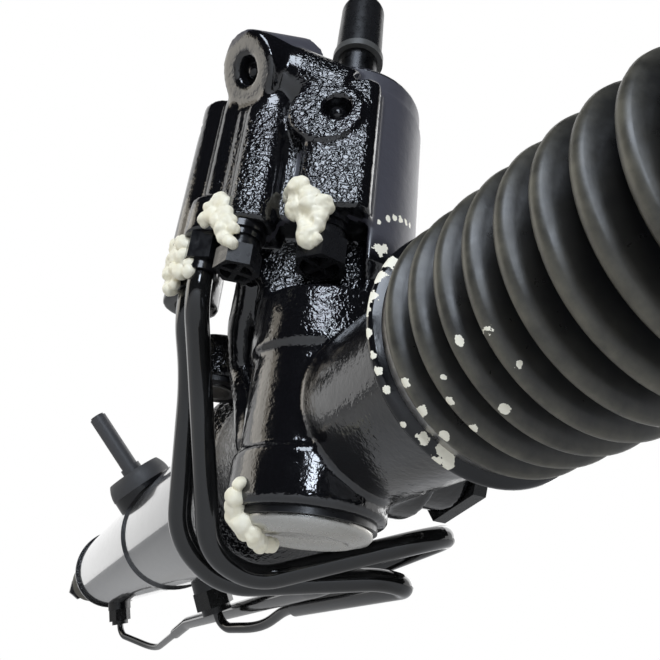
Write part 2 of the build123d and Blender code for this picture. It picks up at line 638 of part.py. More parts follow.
def yoke_spring():
    """Spring between the yoke and its plug, drawn as stacked coils."""
    start = YOKE_BACK_Y - 5
    coils = 4
    step = (YOKE_PLUG_Y - start - 2 * YOKE_WIRE_R) / (coils - 1)
    rings = []
    for index in range(coils):
        plane = Plane(origin=(0, start + YOKE_WIRE_R + index * step, 0), z_dir=(0, 1, 0))
        rings.append(plane * Torus(YOKE_SPRING_R, YOKE_WIRE_R))
    post = rod(YOKE_WIRE_R * 0.8, (0, start, YOKE_SPRING_R), (0, YOKE_PLUG_Y, YOKE_SPRING_R))
    return rings[0] + rings[1:] + post


def yoke_plug():
    """The threaded plug that sets the yoke's play."""
    plug = rod(YOKE_R + FIT - 0.04, (0, YOKE_PLUG_Y, 0), (0, YOKE_PLUG_Y + YOKE_PLUG_LENGTH, 0))
    socket = Plane(origin=(0, YOKE_PLUG_Y + YOKE_PLUG_LENGTH, 0), z_dir=(0, 1, 0)) * extrude(hexagon(14), -5)
    return plug - socket


def yoke_lock_nut():
    start = YOKE_PLUG_Y + 3
    plane = Plane(origin=(0, start, 0), z_dir=(0, 1, 0))
    nut = plane * Rot(0, 0, YOKE_NUT_TURN) * extrude(hexagon(YOKE_NUT_AF), YOKE_NUT_THICK)
    return nut - rod(YOKE_R + FIT, (0, start - 1, 0), (0, start + 9, 0))


def cylinder_tube():
    tube = along_x(TUBE_R, TUBE_END_X, COLLAR_X) + along_x(TUBE_R + RING_PROUD, RING_X - RING_WIDTH, RING_X)
    tube -= along_x(BORE_R, TUBE_END_X - 1, COLLAR_X + 1)
    for x, direction in ((NEAR_PORT_X, NEAR_PORT), (FAR_PORT_X, FAR_PORT)):
        tube -= rod(PIPE_BORE_R + 0.6, at(x, direction, BORE_R - 2), at(x, direction, TUBE_R + 2))
    return tube


def port_boss(x, direction):
    """A boss brazed on the tube where a pipe screws in."""
    boss = rod(PORT_BOSS_R, at(x, direction, BORE_R + 1), at(x, direction, TUBE_R + PORT_BOSS_RISE))
    boss -= along_x(TUBE_R, x - 20, x + 20)
    return boss - rod(PIPE_R + FIT, at(x, direction, BORE_R), at(x, direction, TUBE_R + 9))


def far_housing():
    """The end housing that closes the cylinder and carries the far bellows."""
    start = FAR_END_X - NECK_INSIDE
    body = turned_x([
        (start, 0), (start, CUFF_SEAT_R), (FAR_END_X + SEAT_GAP, CUFF_SEAT_R), (FAR_END_X + SEAT_GAP, NECK_R),
        (TUBE_END_X - 5, NECK_R + 3), (TUBE_END_X - 4, TUBE_R + 2), (TUBE_END_X, TUBE_R + 2),
        (TUBE_END_X, BORE_R - 0.02), (FAR_SEAL_X + SEAL_WIDTH + 3, BORE_R - 0.02), (FAR_SEAL_X + SEAL_WIDTH + 3, 0),
    ])
    body -= along_x(RACK_R + 0.6, start - 1, FAR_SEAL_X + SEAL_WIDTH + 9)
    body -= along_x(NECK_BORE_R, start - 1, FAR_END_X)
    return body - along_x(SEAL_OUT_R, FAR_SEAL_X, FAR_SEAL_X + SEAL_WIDTH + 9)



def rack_seal(x):
    """A lip seal round the rack bar."""
    return along_x(SEAL_OUT_R, x, x + SEAL_WIDTH) - along_x(RACK_R + FIT, x - 1, x + SEAL_WIDTH + 1)


def seal_carrier():
    """The stop inside the tube that carries the near seal."""
    carrier = along_x(BORE_R - 0.02, NEAR_SEAL_X - 6, NEAR_SEAL_X + SEAL_WIDTH + 8)
    carrier -= along_x(RACK_R + 0.6, NEAR_SEAL_X - 9, NEAR_SEAL_X + SEAL_WIDTH + 9)
    return carrier - along_x(SEAL_OUT_R, NEAR_SEAL_X - 9, NEAR_SEAL_X + SEAL_WIDTH)


def piston():
    """The piston fixed on the rack bar, with a groove for its ring."""
    body = along_x(BORE_R - 0.5, PISTON_X - PISTON_WIDTH / 2, PISTON_X + PISTON_WIDTH / 2)
    body -= along_x(RACK_R, PISTON_X - PISTON_WIDTH, PISTON_X + PISTON_WIDTH)
    groove = along_x(BORE_R, PISTON_X - 2.5, PISTON_X + 2.5) - along_x(BORE_R - 3, PISTON_X - 4, PISTON_X + 4)
    return body - groove


def piston_ring():
    return along_x(BORE_R - FIT, PISTON_X - 2.5, PISTON_X + 2.5) - along_x(BORE_R - 3, PISTON_X - 4, PISTON_X + 4)


def rack_bush():
    """The plastic bush that guides the rack in the neck."""
    return along_x(NECK_BORE_R, MOUTH_X - 26, MOUTH_X - 6) - along_x(RACK_R + FIT, 0, MOUTH_X)


def near_mount_bush():
    low = MOUNT_Z - MOUNT_HEIGHT / 2
    bush = Pos(MOUNT_X, MOUNT_Y, low) * extrude(Circle(BUSH_R), MOUNT_HEIGHT)
    bush += Pos(MOUNT_X, MOUNT_Y, low - 1.5) * extrude(Circle(BUSH_R + 2), 1.5)
    return bush - Pos(MOUNT_X, MOUNT_Y, low - 5) * extrude(Circle(SLEEVE_OUT_R), MOUNT_HEIGHT * 2)


def near_mount_sleeve():
    low = MOUNT_Z - MOUNT_HEIGHT / 2 - 2
    sleeve = Pos(MOUNT_X, MOUNT_Y, low) * extrude(Circle(SLEEVE_OUT_R), MOUNT_HEIGHT + 4)
    return sleeve - Pos(MOUNT_X, MOUNT_Y, low - 1) * extrude(Circle(MOUNT_BORE_R), MOUNT_HEIGHT + 9)


def far_mount_saddle():
    """The cup brazed on the tube that holds the far mounting bush."""
    cup = rod(SADDLE_R, at(FAR_MOUNT_X, STUD_DIR, 12), at(FAR_MOUNT_X, STUD_DIR, TUBE_R + 3.5))
    return cup - along_x(TUBE_R + RING_PROUD, FAR_MOUNT_X - 30, FAR_MOUNT_X + 30)


def far_mount_bush():
    """The domed rubber bush in the cup."""
    base = TUBE_R + 3.5
    dome = Sphere(DOME_R + 2.2)
    keep = rod(DOME_R + 5, (0, 0, 0), (0, 0, 30))
    flat = Pos(0, 0, DOME_RISE - 4) * extrude(Circle(DOME_R), 30)
    cap = (dome & keep) - flat
    lower = extrude(Circle(DOME_R + 1), 2)
    plane = Plane(origin=at(FAR_MOUNT_X, STUD_DIR, base), z_dir=STUD_DIR)
    hole = Pos(0, 0, -5) * extrude(Circle(STUD_FOOT_R), 40)
    return plane * (cap + lower - hole)


def far_mount_stud():
    """The stud out of the bush: a thicker foot with a shoulder, then the mounting pin."""
    foot = TUBE_R + 3.5
    shoulder = foot + DOME_RISE
    top = shoulder + STUD_OUT
    stud = rod(STUD_FOOT_R, at(FAR_MOUNT_X, STUD_DIR, foot), at(FAR_MOUNT_X, STUD_DIR, shoulder))
    stud += rod(STUD_R, at(FAR_MOUNT_X, STUD_DIR, shoulder), at(FAR_MOUNT_X, STUD_DIR, top - 1))
    return stud + rod(STUD_R - 0.8, at(FAR_MOUNT_X, STUD_DIR, top - 1), at(FAR_MOUNT_X, STUD_DIR, top))


def bend_radii(points):
    """A bend for each corner of a route, as wide as the runs and nuts beside it allow."""
    radii = []
    last = len(points) - 3
    for index, (before, here, after) in enumerate(zip(points, points[1:], points[2:])):
        a, b, c = Vector(*before), Vector(*here), Vector(*after)
        half_turn = math.radians((b - a).get_angle(c - b)) / 2
        reach = BEND_SHARE * min((b - a).length, (c - b).length)
        if index in (0, last):
            reach = min(reach, NUT_STUB - 0.5)
        radii.append(min(reach / math.tan(half_turn), WIDEST_BEND))
    return radii


def bent_tube(points, radii, radius, bore):
    """A bent tube along a route."""
    path = FilletPolyline(*points, radius=radii)
    start = Plane(origin=points[0], z_dir=path % 0)
    return sweep(start * (Circle(radius) - Circle(bore)), path=path)


def pipe_nut(start, direction, across_flats, length):
    """A tube nut on a pipe's end, with its flare collar."""
    plane = Plane(origin=start, z_dir=direction)
    nut = plane * extrude(hexagon(across_flats), length * 0.75)
    nut += plane * Pos(0, 0, length * 0.75) * extrude(Circle(across_flats / 2 - 1), length * 0.25)
    return nut - plane * Pos(0, 0, -1) * extrude(Circle(PIPE_R), length + 2)


def valve_nuts():
    """The two tube nuts under the valve block."""
    nuts = []
    for u, v in (NEAR_PIPE_PORT, FAR_PIPE_PORT):
        start = block_point(u, v, PIPE_NUT_TOP_Z)
        nuts.append(pipe_nut(start, (0, 0, -1), VALVE_NUT_AF, PIPE_NUT_TOP_Z - PIPE_NUT_BOTTOM_Z))
    return nuts


def cylinder_nut(x, direction, across_flats):
    start = at(x, direction, TUBE_R + PORT_BOSS_RISE)
    return pipe_nut(start, direction, across_flats, NUT_LENGTH)


def full_route(route, port, x, direction):
    """A route with both its ends in their seats."""
    top = block_point(*port, PIPE_NUT_TOP_Z + 6)
    return [top] + route + [at(x, direction, TUBE_R + 1)]


def pipe_and_sleeve(route, port, x, direction, corners, cut_x):
    """A pipe, and the thick sleeve over its first corners up to a cut end."""
    points = full_route(route, port, x, direction)
    radii = bend_radii(points)
    tube = bent_tube(points, radii, PIPE_R, PIPE_BORE_R)
    before, after = Vector(*points[corners]), Vector(*points[corners + 1])
    cut = before + (after - before) * ((cut_x - before.X) / (after.X - before.X))
    covered = [block_point(*port, PIPE_NUT_BOTTOM_Z - SEAT_GAP)] + points[1:corners + 1] + [tuple(cut)]
    return tube, bent_tube(covered, radii[:corners], SLEEVE_R, PIPE_R)


def ball_socket(end_x, side):
    """The socket screwed on a rack end, with flats for a spanner."""
    far = end_x + side * SOCKET_LENGTH
    body = turned_x([
        (end_x, 0), (end_x, SOCKET_R - 1.5), (end_x + side * 1.5, SOCKET_R), (end_x + side * 26, SOCKET_R),
        (far, SOCKET_R - 2.6), (far, 0),
    ])
    centre = end_x + side * BALL_JOINT_IN
    body -= Pos(centre, 0, 0) * Sphere(BALL_JOINT_R + 1.2)
    cone = turned_x([
        (centre, 0), (centre + side * 6, BALL_JOINT_R - 2.0), (far + side * 1, TIE_ROD_R + 3.8), (far + side * 1, 0),
    ])
    body -= cone
    for sign in (-1, 1):
        body -= Pos(end_x + side * 6, 0, sign * SOCKET_R) * Box(12, 40, 3)
    return body


def ball_seat(end_x, side):
    """The plastic liner between ball and socket."""
    centre = end_x + side * BALL_JOINT_IN
    shell = Sphere(BALL_JOINT_R + 1.2 - 0.02) - Sphere(BALL_JOINT_R + FIT)
    mouth = Pos(side * (BALL_JOINT_R + 4.5), 0, 0) * Box(16, 40, 40)
    return Pos(centre, 0, 0) * (shell - mouth)


def tie_rod(end_x, side):
    """A tie rod: ball, neck, shank and threaded end. The thread is relieved under the lock nut."""
    centre = end_x + side * BALL_JOINT_IN
    end = centre + side * TIE_ROD_LENGTH
    thread = end - side * TIE_THREAD_LENGTH
    free = end - side * FREE_THREAD
    shank = turned_x([
        (centre, 0), (centre, 5.5), (centre + side * 14, 5.5), (centre + side * 20, TIE_ROD_R - 0.5),
        (centre + side * 30, TIE_ROD_R - 0.5), (centre + side * 36, TIE_ROD_R + 1), (thread - side * 4, TIE_ROD_R + 1),
        (thread, NUT_THREAD_R), (free, NUT_THREAD_R), (free, TIE_THREAD_R), (end - side, TIE_THREAD_R),
        (end, TIE_THREAD_R - 1), (end, 0),
    ])
    return shank + Pos(centre, 0, 0) * SWING_AXIS * Sphere(BALL_JOINT_R)


def lock_nut(end_x, side):
    """The nut that locks a track-rod end on the thread."""
    end = end_x + side * (BALL_JOINT_IN + TIE_ROD_LENGTH)
    outer = end - side * (FREE_THREAD + 0.2)
    low = min(outer, outer - side * LOCK_NUT_LENGTH)
    nut = Plane(origin=(low, 0, 0), z_dir=(1, 0, 0)) * extrude(hexagon(LOCK_NUT_AF), LOCK_NUT_LENGTH)
    return nut - along_x(NUT_THREAD_R + 0.02, low - 1, low + LOCK_NUT_LENGTH + 1)


def bellows(mouth_x, side):
    """A bellows from the housing to the tie rod: a lip, a groove for its clamp, then tapering folds."""
    first = FIRST_CREST - BELLOWS_PITCH / 2
    last = BELLOWS_LENGTH - SMALL_CUFF_WIDTH
    folds = int((last - first) / BELLOWS_PITCH)
    step = (last - first) / folds
    taper = (BELLOWS_SMALL_R - BELLOWS_BIG_R) / folds
    rod_r = TIE_ROD_R + 1 + FIT
    outer = [(0, CUFF_SEAT_R), (0, LIP_R), (LIP_WIDTH, LIP_R), (LIP_WIDTH, CLAMP_SEAT_R), (first + step, CLAMP_SEAT_R)]
    for index in range(1, folds):
        crest = BELLOWS_BIG_R + taper * index
        outer.append((first + step * (index + 0.5), crest))
        outer.append((first + step * (index + 1), crest - BELLOWS_DEPTH))
    outer += [(last, rod_r + BELLOWS_WALL + 1), (BELLOWS_LENGTH, rod_r + BELLOWS_WALL + 1)]
    inner = [
        (BELLOWS_LENGTH, rod_r), (last, rod_r), (last - 2, BELLOWS_SMALL_R - BELLOWS_DEPTH - BELLOWS_WALL),
        (NECK_INSIDE + 1, CUFF_SEAT_R),
    ]
    return turned_x([(mouth_x + side * x, r) for x, r in outer + inner])


def large_clamp(mouth_x, side):
    """The band clamp in the groove at a bellows' big end, with its crimped ear."""
    middle = mouth_x + side * (LIP_WIDTH + 0.4 + CLAMP_WIDTH / 2)
    x0, x1 = middle - CLAMP_WIDTH / 2, middle + CLAMP_WIDTH / 2
    band = along_x(CLAMP_SEAT_R + CLAMP_WALL, x0, x1) - along_x(CLAMP_SEAT_R + FIT, x0 - 1, x1 + 1)
    loop = Box(CLAMP_WIDTH, 7, 3.4) - Pos(0, 0, -1) * Box(9, 4.6, 3.4)
    return band + Pos(middle, 0, 0) * Rot(CLAMP_EAR_TURN, 0, 0) * Pos(0, 0, CLAMP_SEAT_R + 2) * loop



def small_clamp(mouth_x, side):
    """The spring clip round a bellows' small end."""
    outer = TIE_ROD_R + 1 + FIT + BELLOWS_WALL + 1
    middle = mouth_x + side * (BELLOWS_LENGTH - SMALL_CUFF_WIDTH / 2)
    band = along_x(outer + 1.2, middle - 2, middle + 2) - along_x(outer + FIT, middle - 3, middle + 3)
    tails = Pos(middle, 0, outer + 3) * (Box(4, 1.4, 5) + Pos(0, 4, 0) * Box(4, 1.4, 5))
    return band + tails


def moved_to_mount(shape):
    """A piece, or a list of like pieces as one, moved so that the near mount is the origin."""
    move = Pos(-MOUNT_X, -MOUNT_Y, -MOUNT_Z)
    if isinstance(shape, list):
        return Compound([solid.moved(move) for item in shape for solid in item.solids()])
    return move * shape


PIECES = {
    "rack_housing": rack_housing(),
    "valve_housing": valve_housing(),
    "ball_plugs": ball_plugs(),
    "port_adapters": [
        port_adapter(RETURN_V, BLOCK_BOTTOM_Z, RETURN_RING_R),
        port_adapter(PRESSURE_V, ROUGH_BOTTOM_Z, PRESSURE_RING_R),
    ],
    "return_port_plug": port_plug(
        RETURN_V, BLOCK_BOTTOM_Z, RETURN_PLUG_AF, RETURN_PLUG_Z, RETURN_PLUG_TURN),
    "pressure_port_plug": port_plug(
        PRESSURE_V, ROUGH_BOTTOM_Z, PRESSURE_PLUG_AF, PRESSURE_PLUG_Z, PRESSURE_PLUG_TURN),
    "bottom_cap": bottom_cap(),
    "bottom_cap_seal": bottom_cap_seal(),
    "lower_bearing": bearing(LOWER_JOURNAL_R + 0.02, LOWER_BEARING_R, LOWER_BEARING_Z, -RACK_R - 0.6),
    "upper_bearing": bearing(
        UPPER_JOURNAL_R + 0.02, UPPER_BEARING_R, UPPER_BEARING_Z, UPPER_BEARING_Z + UPPER_BEARING_WIDTH),
    "pinion_seal": pinion_seal(),
    "pinion": pinion(),
    "valve_sleeve": valve_sleeve(),
    "torsion_bar": along_z(TORSION_R, FACE_TOP_Z, TOWER_TOP_Z - 2),
    "input_shaft": input_shaft(),
    "shaft_bearing": bearing(
        INPUT_R + 0.02, SHAFT_SEAL_R, SEAL_SEAT_Z, SEAL_SEAT_Z + SHAFT_BEARING_WIDTH),
    "shaft_seal": shaft_seal(),
    "top_circlip": top_circlip(),
    "shaft_cap": shaft_cap(),
    "shaft_collar": shaft_collar(),
    "rack_bar": rack_bar(),
    "rack_bush": rack_bush(),
    "yoke": yoke(),
    "yoke_spring": yoke_spring(),
    "yoke_plug": yoke_plug(),
    "yoke_lock_nut": yoke_lock_nut(),
    "cylinder_tube": cylinder_tube(),
    "port_bosses": [port_boss(NEAR_PORT_X, NEAR_PORT), port_boss(FAR_PORT_X, FAR_PORT)],
    "far_housing": far_housing(),
    "seal_carrier": seal_carrier(),
    "rack_seals": [rack_seal(NEAR_SEAL_X), rack_seal(FAR_SEAL_X)],
    "piston": piston(),
    "piston_ring": piston_ring(),
    "near_mount_bush": near_mount_bush(),
    "near_mount_sleeve": near_mount_sleeve(),
    "far_mount_saddle": far_mount_saddle(),
    "far_mount_bush": far_mount_bush(),
    "far_mount_stud": far_mount_stud(),
    "valve_pipe_nuts": valve_nuts(),
    "near_port_nut": cylinder_nut(NEAR_PORT_X, NEAR_PORT, NEAR_NUT_AF),
    "far_port_nut": cylinder_nut(FAR_PORT_X, FAR_PORT, FAR_NUT_AF),
}
PIECES["long_pipe"], PIECES["long_pipe_sleeve"] = pipe_and_sleeve(
    LONG_ROUTE, NEAR_PIPE_PORT, FAR_PORT_X, FAR_PORT, *LONG_SLEEVE)
PIECES["short_pipe"], PIECES["short_pipe_sleeve"] = pipe_and_sleeve(
    SHORT_ROUTE, FAR_PIPE_PORT, NEAR_PORT_X, NEAR_PORT, *SHORT_SLEEVE)
for name, end_x, mouth_x, side in (
    ("near", NEAR_RACK_END_X, MOUTH_X, 1), ("far", FAR_RACK_END_X, FAR_END_X, -1),
):
    PIECES[name + "_ball_socket"] = ball_socket(end_x, side)
    PIECES[name + "_ball_seat"] = ball_seat(end_x, side)
    PIECES[name + "_tie_rod"] = tie_rod(end_x, side)
    PIECES[name + "_lock_nut"] = lock_nut(end_x, side)
    PIECES[name + "_bellows"] = bellows(mouth_x, side)
    PIECES[name + "_large_clamp"] = large_clamp(mouth_x, side)
    PIECES[name + "_small_clamp"] = small_clamp(mouth_x, side)

for name, shape in PIECES.items():
    export_step(moved_to_mount(shape), "parts/" + name + ".step")
print(len(PIECES), "nodes")
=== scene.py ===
import json
import math

import bmesh
import bpy
from mathutils import Matrix, Vector, noise


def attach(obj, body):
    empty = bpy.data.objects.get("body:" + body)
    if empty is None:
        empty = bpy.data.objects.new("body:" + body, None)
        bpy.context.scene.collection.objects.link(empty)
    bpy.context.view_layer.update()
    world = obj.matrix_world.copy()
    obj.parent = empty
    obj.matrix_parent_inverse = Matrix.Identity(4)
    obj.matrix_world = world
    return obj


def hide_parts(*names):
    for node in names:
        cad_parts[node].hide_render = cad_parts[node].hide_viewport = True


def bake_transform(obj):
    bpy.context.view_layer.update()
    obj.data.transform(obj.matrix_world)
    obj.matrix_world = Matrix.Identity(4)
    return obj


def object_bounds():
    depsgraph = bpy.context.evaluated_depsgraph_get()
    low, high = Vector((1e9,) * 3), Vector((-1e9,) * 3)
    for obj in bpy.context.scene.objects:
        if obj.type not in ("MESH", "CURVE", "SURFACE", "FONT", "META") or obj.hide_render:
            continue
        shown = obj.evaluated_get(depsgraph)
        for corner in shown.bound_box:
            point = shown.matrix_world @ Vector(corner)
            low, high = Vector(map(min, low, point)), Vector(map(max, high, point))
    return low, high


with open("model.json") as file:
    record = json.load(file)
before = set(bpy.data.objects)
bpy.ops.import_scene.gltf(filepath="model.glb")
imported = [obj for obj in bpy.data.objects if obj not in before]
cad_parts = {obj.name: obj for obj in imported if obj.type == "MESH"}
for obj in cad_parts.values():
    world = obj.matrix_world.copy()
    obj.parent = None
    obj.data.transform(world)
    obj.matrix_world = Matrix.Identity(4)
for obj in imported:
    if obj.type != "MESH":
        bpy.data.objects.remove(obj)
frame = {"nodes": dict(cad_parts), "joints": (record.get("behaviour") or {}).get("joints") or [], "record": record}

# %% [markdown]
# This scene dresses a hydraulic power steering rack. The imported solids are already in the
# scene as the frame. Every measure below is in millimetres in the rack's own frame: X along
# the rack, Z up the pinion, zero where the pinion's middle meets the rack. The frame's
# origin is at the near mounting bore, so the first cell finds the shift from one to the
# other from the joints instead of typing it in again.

MM = 0.001
cad_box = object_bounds()
joint_at = {joint["name"]: joint.get("pos_m") for joint in frame["joints"]}
rod_joint = joint_at["near_tie_rod_swing"]
RACK = Vector((joint_at["pinion_turn"][0], rod_joint[1], rod_joint[2]))
PINION_Y = (joint_at["pinion_turn"][1] - RACK.y) / MM


def place(x, y, z):
    """A point of the rack's frame in millimetres, as a point of the scene."""
    return RACK + Vector((x, y, z)) * MM


TO_SCENE = Matrix.Translation(RACK) @ Matrix.Scale(MM, 4)
print("rack origin", [round(value, 4) for value in RACK], "pinion at y", round(PINION_Y, 2), "mm")

# %% [markdown]
# The photograph looks up at the valve tower from close by, from in front of the near bellows
# and a little under the rack. A matrix of the camera's own right, up and back directions sets
# that view exactly. A 37 mm lens on a square picture gives the same strong perspective.
# Colours are shown as they are set, without a film curve.

# %% The camera
CAMERA_RIGHT = Vector((0.4084, 0.9074, 0.0996))
CAMERA_UP = Vector((0.3751, -0.2663, 0.8879))
CAMERA_BACK = Vector((0.8322, -0.3252, -0.4492))
camera_data = bpy.data.cameras.new("photo_camera")
camera_data.lens = 37.04
camera_data.sensor_width = 36.0
camera_data.clip_start = 0.005
camera = bpy.data.objects.new("photo_camera", camera_data)
bpy.context.scene.collection.objects.link(camera)
turn = Matrix((CAMERA_RIGHT, CAMERA_UP, CAMERA_BACK)).transposed().to_4x4()
camera.matrix_world = Matrix.Translation(place(162.4, -74.0, -60.2)) @ turn
bpy.context.scene.camera = camera
bpy.context.scene.view_settings.view_transform = "Standard"
print("camera at", [round(value, 3) for value in camera.matrix_world.translation])

# %% [markdown]
# The background of the photograph is pure white. The world is therefore white for camera,
# glossy and transmitted rays, and dimmer for the light that it gives. Gloss black paint
# shows only what it mirrors, so what stands round the part matters as much as its lamps.

# %% World
def new_node(tree, kind, **values):
    """A new node with some of its properties or inputs set."""
    node = tree.nodes.new(kind)
    for key, value in values.items():
        if hasattr(node, key):
            setattr(node, key, value)
        else:
            node.inputs[key.replace("_", " ")].default_value = value
    return node


DIFFUSE_LEVEL = 0.4
world = bpy.data.worlds.new("studio")
bpy.context.scene.world = world
world.use_nodes = True
tree = world.node_tree
tree.nodes.clear()
rays = new_node(tree, "ShaderNodeLightPath")
shown = new_node(tree, "ShaderNodeBackground", Color=(1, 1, 1, 1), Strength=1.0)
given = new_node(tree, "ShaderNodeBackground", Color=(0.97, 0.98, 1, 1), Strength=DIFFUSE_LEVEL)
seen = new_node(tree, "ShaderNodeMath", operation="MAXIMUM")
tree.links.new(rays.outputs["Is Camera Ray"], seen.inputs[0])
tree.links.new(rays.outputs["Is Transmission Ray"], seen.inputs[1])
either = new_node(tree, "ShaderNodeMath", operation="MAXIMUM")
tree.links.new(seen.outputs[0], either.inputs[0])
tree.links.new(rays.outputs["Is Glossy Ray"], either.inputs[1])
mix_seen = new_node(tree, "ShaderNodeMixShader")
tree.links.new(either.outputs[0], mix_seen.inputs[0])
tree.links.new(given.outputs[0], mix_seen.inputs[1])
tree.links.new(shown.outputs[0], mix_seen.inputs[2])
world_out = new_node(tree, "ShaderNodeOutputWorld")
tree.links.new(mix_seen.outputs[0], world_out.inputs[0])
print("world lights at", DIFFUSE_LEVEL)

# %% [markdown]
# Behind the camera is a dark room with a cool window in it. Two square lamps stand for the
# window, which the pebbled casting breaks into sparkles. Weaker warm ones stand for a wall on
# the left and for light from below, and a broad one lights the part from behind.

# %% Lamps
def soft_box(name, at, aim, size, power, color=(1, 1, 1)):
    """A square area lamp at one point, turned towards another."""
    data = bpy.data.lights.new(name, "AREA")
    data.size = size
    data.energy = power
    data.color = color
    lamp = bpy.data.objects.new(name, data)
    bpy.context.scene.collection.objects.link(lamp)
    lamp.location = at
    lamp.rotation_euler = (Vector(aim) - Vector(at)).to_track_quat("-Z", "Y").to_euler()
    print(name, "lamp at", power, "W")


middle = place(0, 0, 30)
COOL = (0.80, 0.88, 1.0)
WARM = (1.0, 0.92, 0.78)
soft_box("window", place(700, -440, 640), middle, 0.44, 5.6, COOL)
soft_box("low_window", place(900, -330, 255), place(0, 0, 0), 0.19, 1.9, COOL)
soft_box("left_wall", place(-420, -760, 330), middle, 0.55, 1.3, WARM)
soft_box("back_box", place(-400, 900, 500), middle, 0.9, 5.0)
soft_box("low_box", place(300, -250, -330), place(0, 0, 0), 0.22, 0.6, WARM)

# %% [markdown]
# The part lies over a grey floor, which the photograph's view doesn't reach. Half a black dome
# round the camera is the dark room. It shows only in what mirrors it: the camera, diffuse
# light and shadows pass through it.

# %% Floor and dark room
def matt(name, color):
    """A plain matt material for the studio's own things."""
    material = bpy.data.materials.new(name)
    material.use_nodes = True
    bsdf = material.node_tree.nodes["Principled BSDF"]
    bsdf.inputs["Base Color"].default_value = (*color, 1)
    bsdf.inputs["Roughness"].default_value = 0.9
    bsdf.inputs["Specular IOR Level"].default_value = 0.0
    return material


def card(name, at, facing, size, material):
    """A flat square of the studio, turned to face a direction."""
    bm = bmesh.new()
    bmesh.ops.create_grid(bm, x_segments=1, y_segments=1, size=size / 2)
    turned = Vector(facing).to_track_quat("Z", "Y").to_matrix().to_4x4()
    bmesh.ops.transform(bm, matrix=Matrix.Translation(at) @ turned, verts=bm.verts)
    mesh = bpy.data.meshes.new(name)
    bm.to_mesh(mesh)
    bm.free()
    mesh.materials.append(material)
    made = bpy.data.objects.new(name, mesh)
    bpy.context.scene.collection.objects.link(made)


def dark_room(radius, open_turn, steps):
    """A black dome over the part on the camera's side, open towards the part's back."""
    bm = bmesh.new()
    turns = [open_turn * k / ROOM_RINGS for k in range(ROOM_RINGS + 1)]
    points = [(math.sin(turn), math.cos(turn)) for turn in turns]
    verts = [bm.verts.new((r * radius, 0, z * radius)) for r, z in points]
    edges = [bm.edges.new(pair) for pair in zip(verts, verts[1:])]
    bmesh.ops.spin(bm, geom=verts + edges, cent=(0, 0, 0), axis=(0, 0, 1), dvec=(0, 0, 0),
                   angle=2 * math.pi, steps=steps, use_merge=True)
    bmesh.ops.remove_doubles(bm, verts=bm.verts, dist=1e-4)
    turned = DARK_TOWARDS.to_track_quat("Z", "Y").to_matrix().to_4x4()
    bmesh.ops.transform(bm, matrix=Matrix.Translation(middle) @ turned, verts=bm.verts)
    mesh = bpy.data.meshes.new("dark_room")
    bm.to_mesh(mesh)
    bm.free()
    mesh.materials.append(matt("room_black", (0.008, 0.008, 0.009)))
    made = bpy.data.objects.new("dark_room", mesh)
    made.visible_camera = False
    made.visible_diffuse = False
    made.visible_shadow = False
    bpy.context.scene.collection.objects.link(made)


FLOOR_DROP = 0.07
FLOOR_SIZE = 3.6
FLOOR_SHIFT = 0.2
FLOOR_GREY = (0.66, 0.66, 0.66)
ROOM_RADIUS = 1.5
ROOM_TURN = math.radians(82)
ROOM_RINGS = 12
ROOM_SIDES = 48
DARK_TOWARDS = Vector((0.80, -0.30, 0.42))
floor_z = cad_box[0][2] - FLOOR_DROP
floor_at = (RACK.x - FLOOR_SHIFT, RACK.y, floor_z)
card("floor", floor_at, (0, 0, 1), FLOOR_SIZE, matt("floor_paint", FLOOR_GREY))
dark_room(ROOM_RADIUS, ROOM_TURN, ROOM_SIDES)
print("floor at", round(floor_z, 3), "and a dark room")

# %% [markdown]
# Several finishes share effects: the pebbled skin of a sand casting under gloss paint, a fine
# grain, and ragged blots of cream paint. Each is a node group with named inputs, so that
# every material can use it with its own values.

# %% Shared effects: pebbles, grain and dabs
def effect_group(name, inputs, outputs):
    """An empty shader group with its sockets made."""
    group = bpy.data.node_groups.new(name, "ShaderNodeTree")
    for label, kind, value in inputs:
        socket = group.interface.new_socket(label, in_out="INPUT", socket_type=kind)
        if value is not None:
            socket.default_value = value
    for label, kind in outputs:
        group.interface.new_socket(label, in_out="OUTPUT", socket_type=kind)
    start = group.nodes.new("NodeGroupInput")
    end = group.nodes.new("NodeGroupOutput")
    return group, start, end


def make_pebbles():
    """Height of a sand-cast skin: fused lumps, flat in the valleys and on top."""
    group, start, end = effect_group(
        "cast_pebbles",
        [("Vector", "NodeSocketVector", None), ("Lump Scale", "NodeSocketFloat", 900.0)],
        [("Height", "NodeSocketFloat")],
    )
    lumps = new_node(group, "ShaderNodeTexNoise", Detail=1.0, Roughness=0.5, Distortion=0.7)
    group.links.new(start.outputs["Vector"], lumps.inputs["Vector"])
    group.links.new(start.outputs["Lump Scale"], lumps.inputs["Scale"])
    ramp = new_node(group, "ShaderNodeMapRange", From_Min=0.3, From_Max=0.7)
    group.links.new(lumps.outputs["Fac"], ramp.inputs["Value"])
    group.links.new(ramp.outputs["Result"], end.inputs["Height"])
    return group


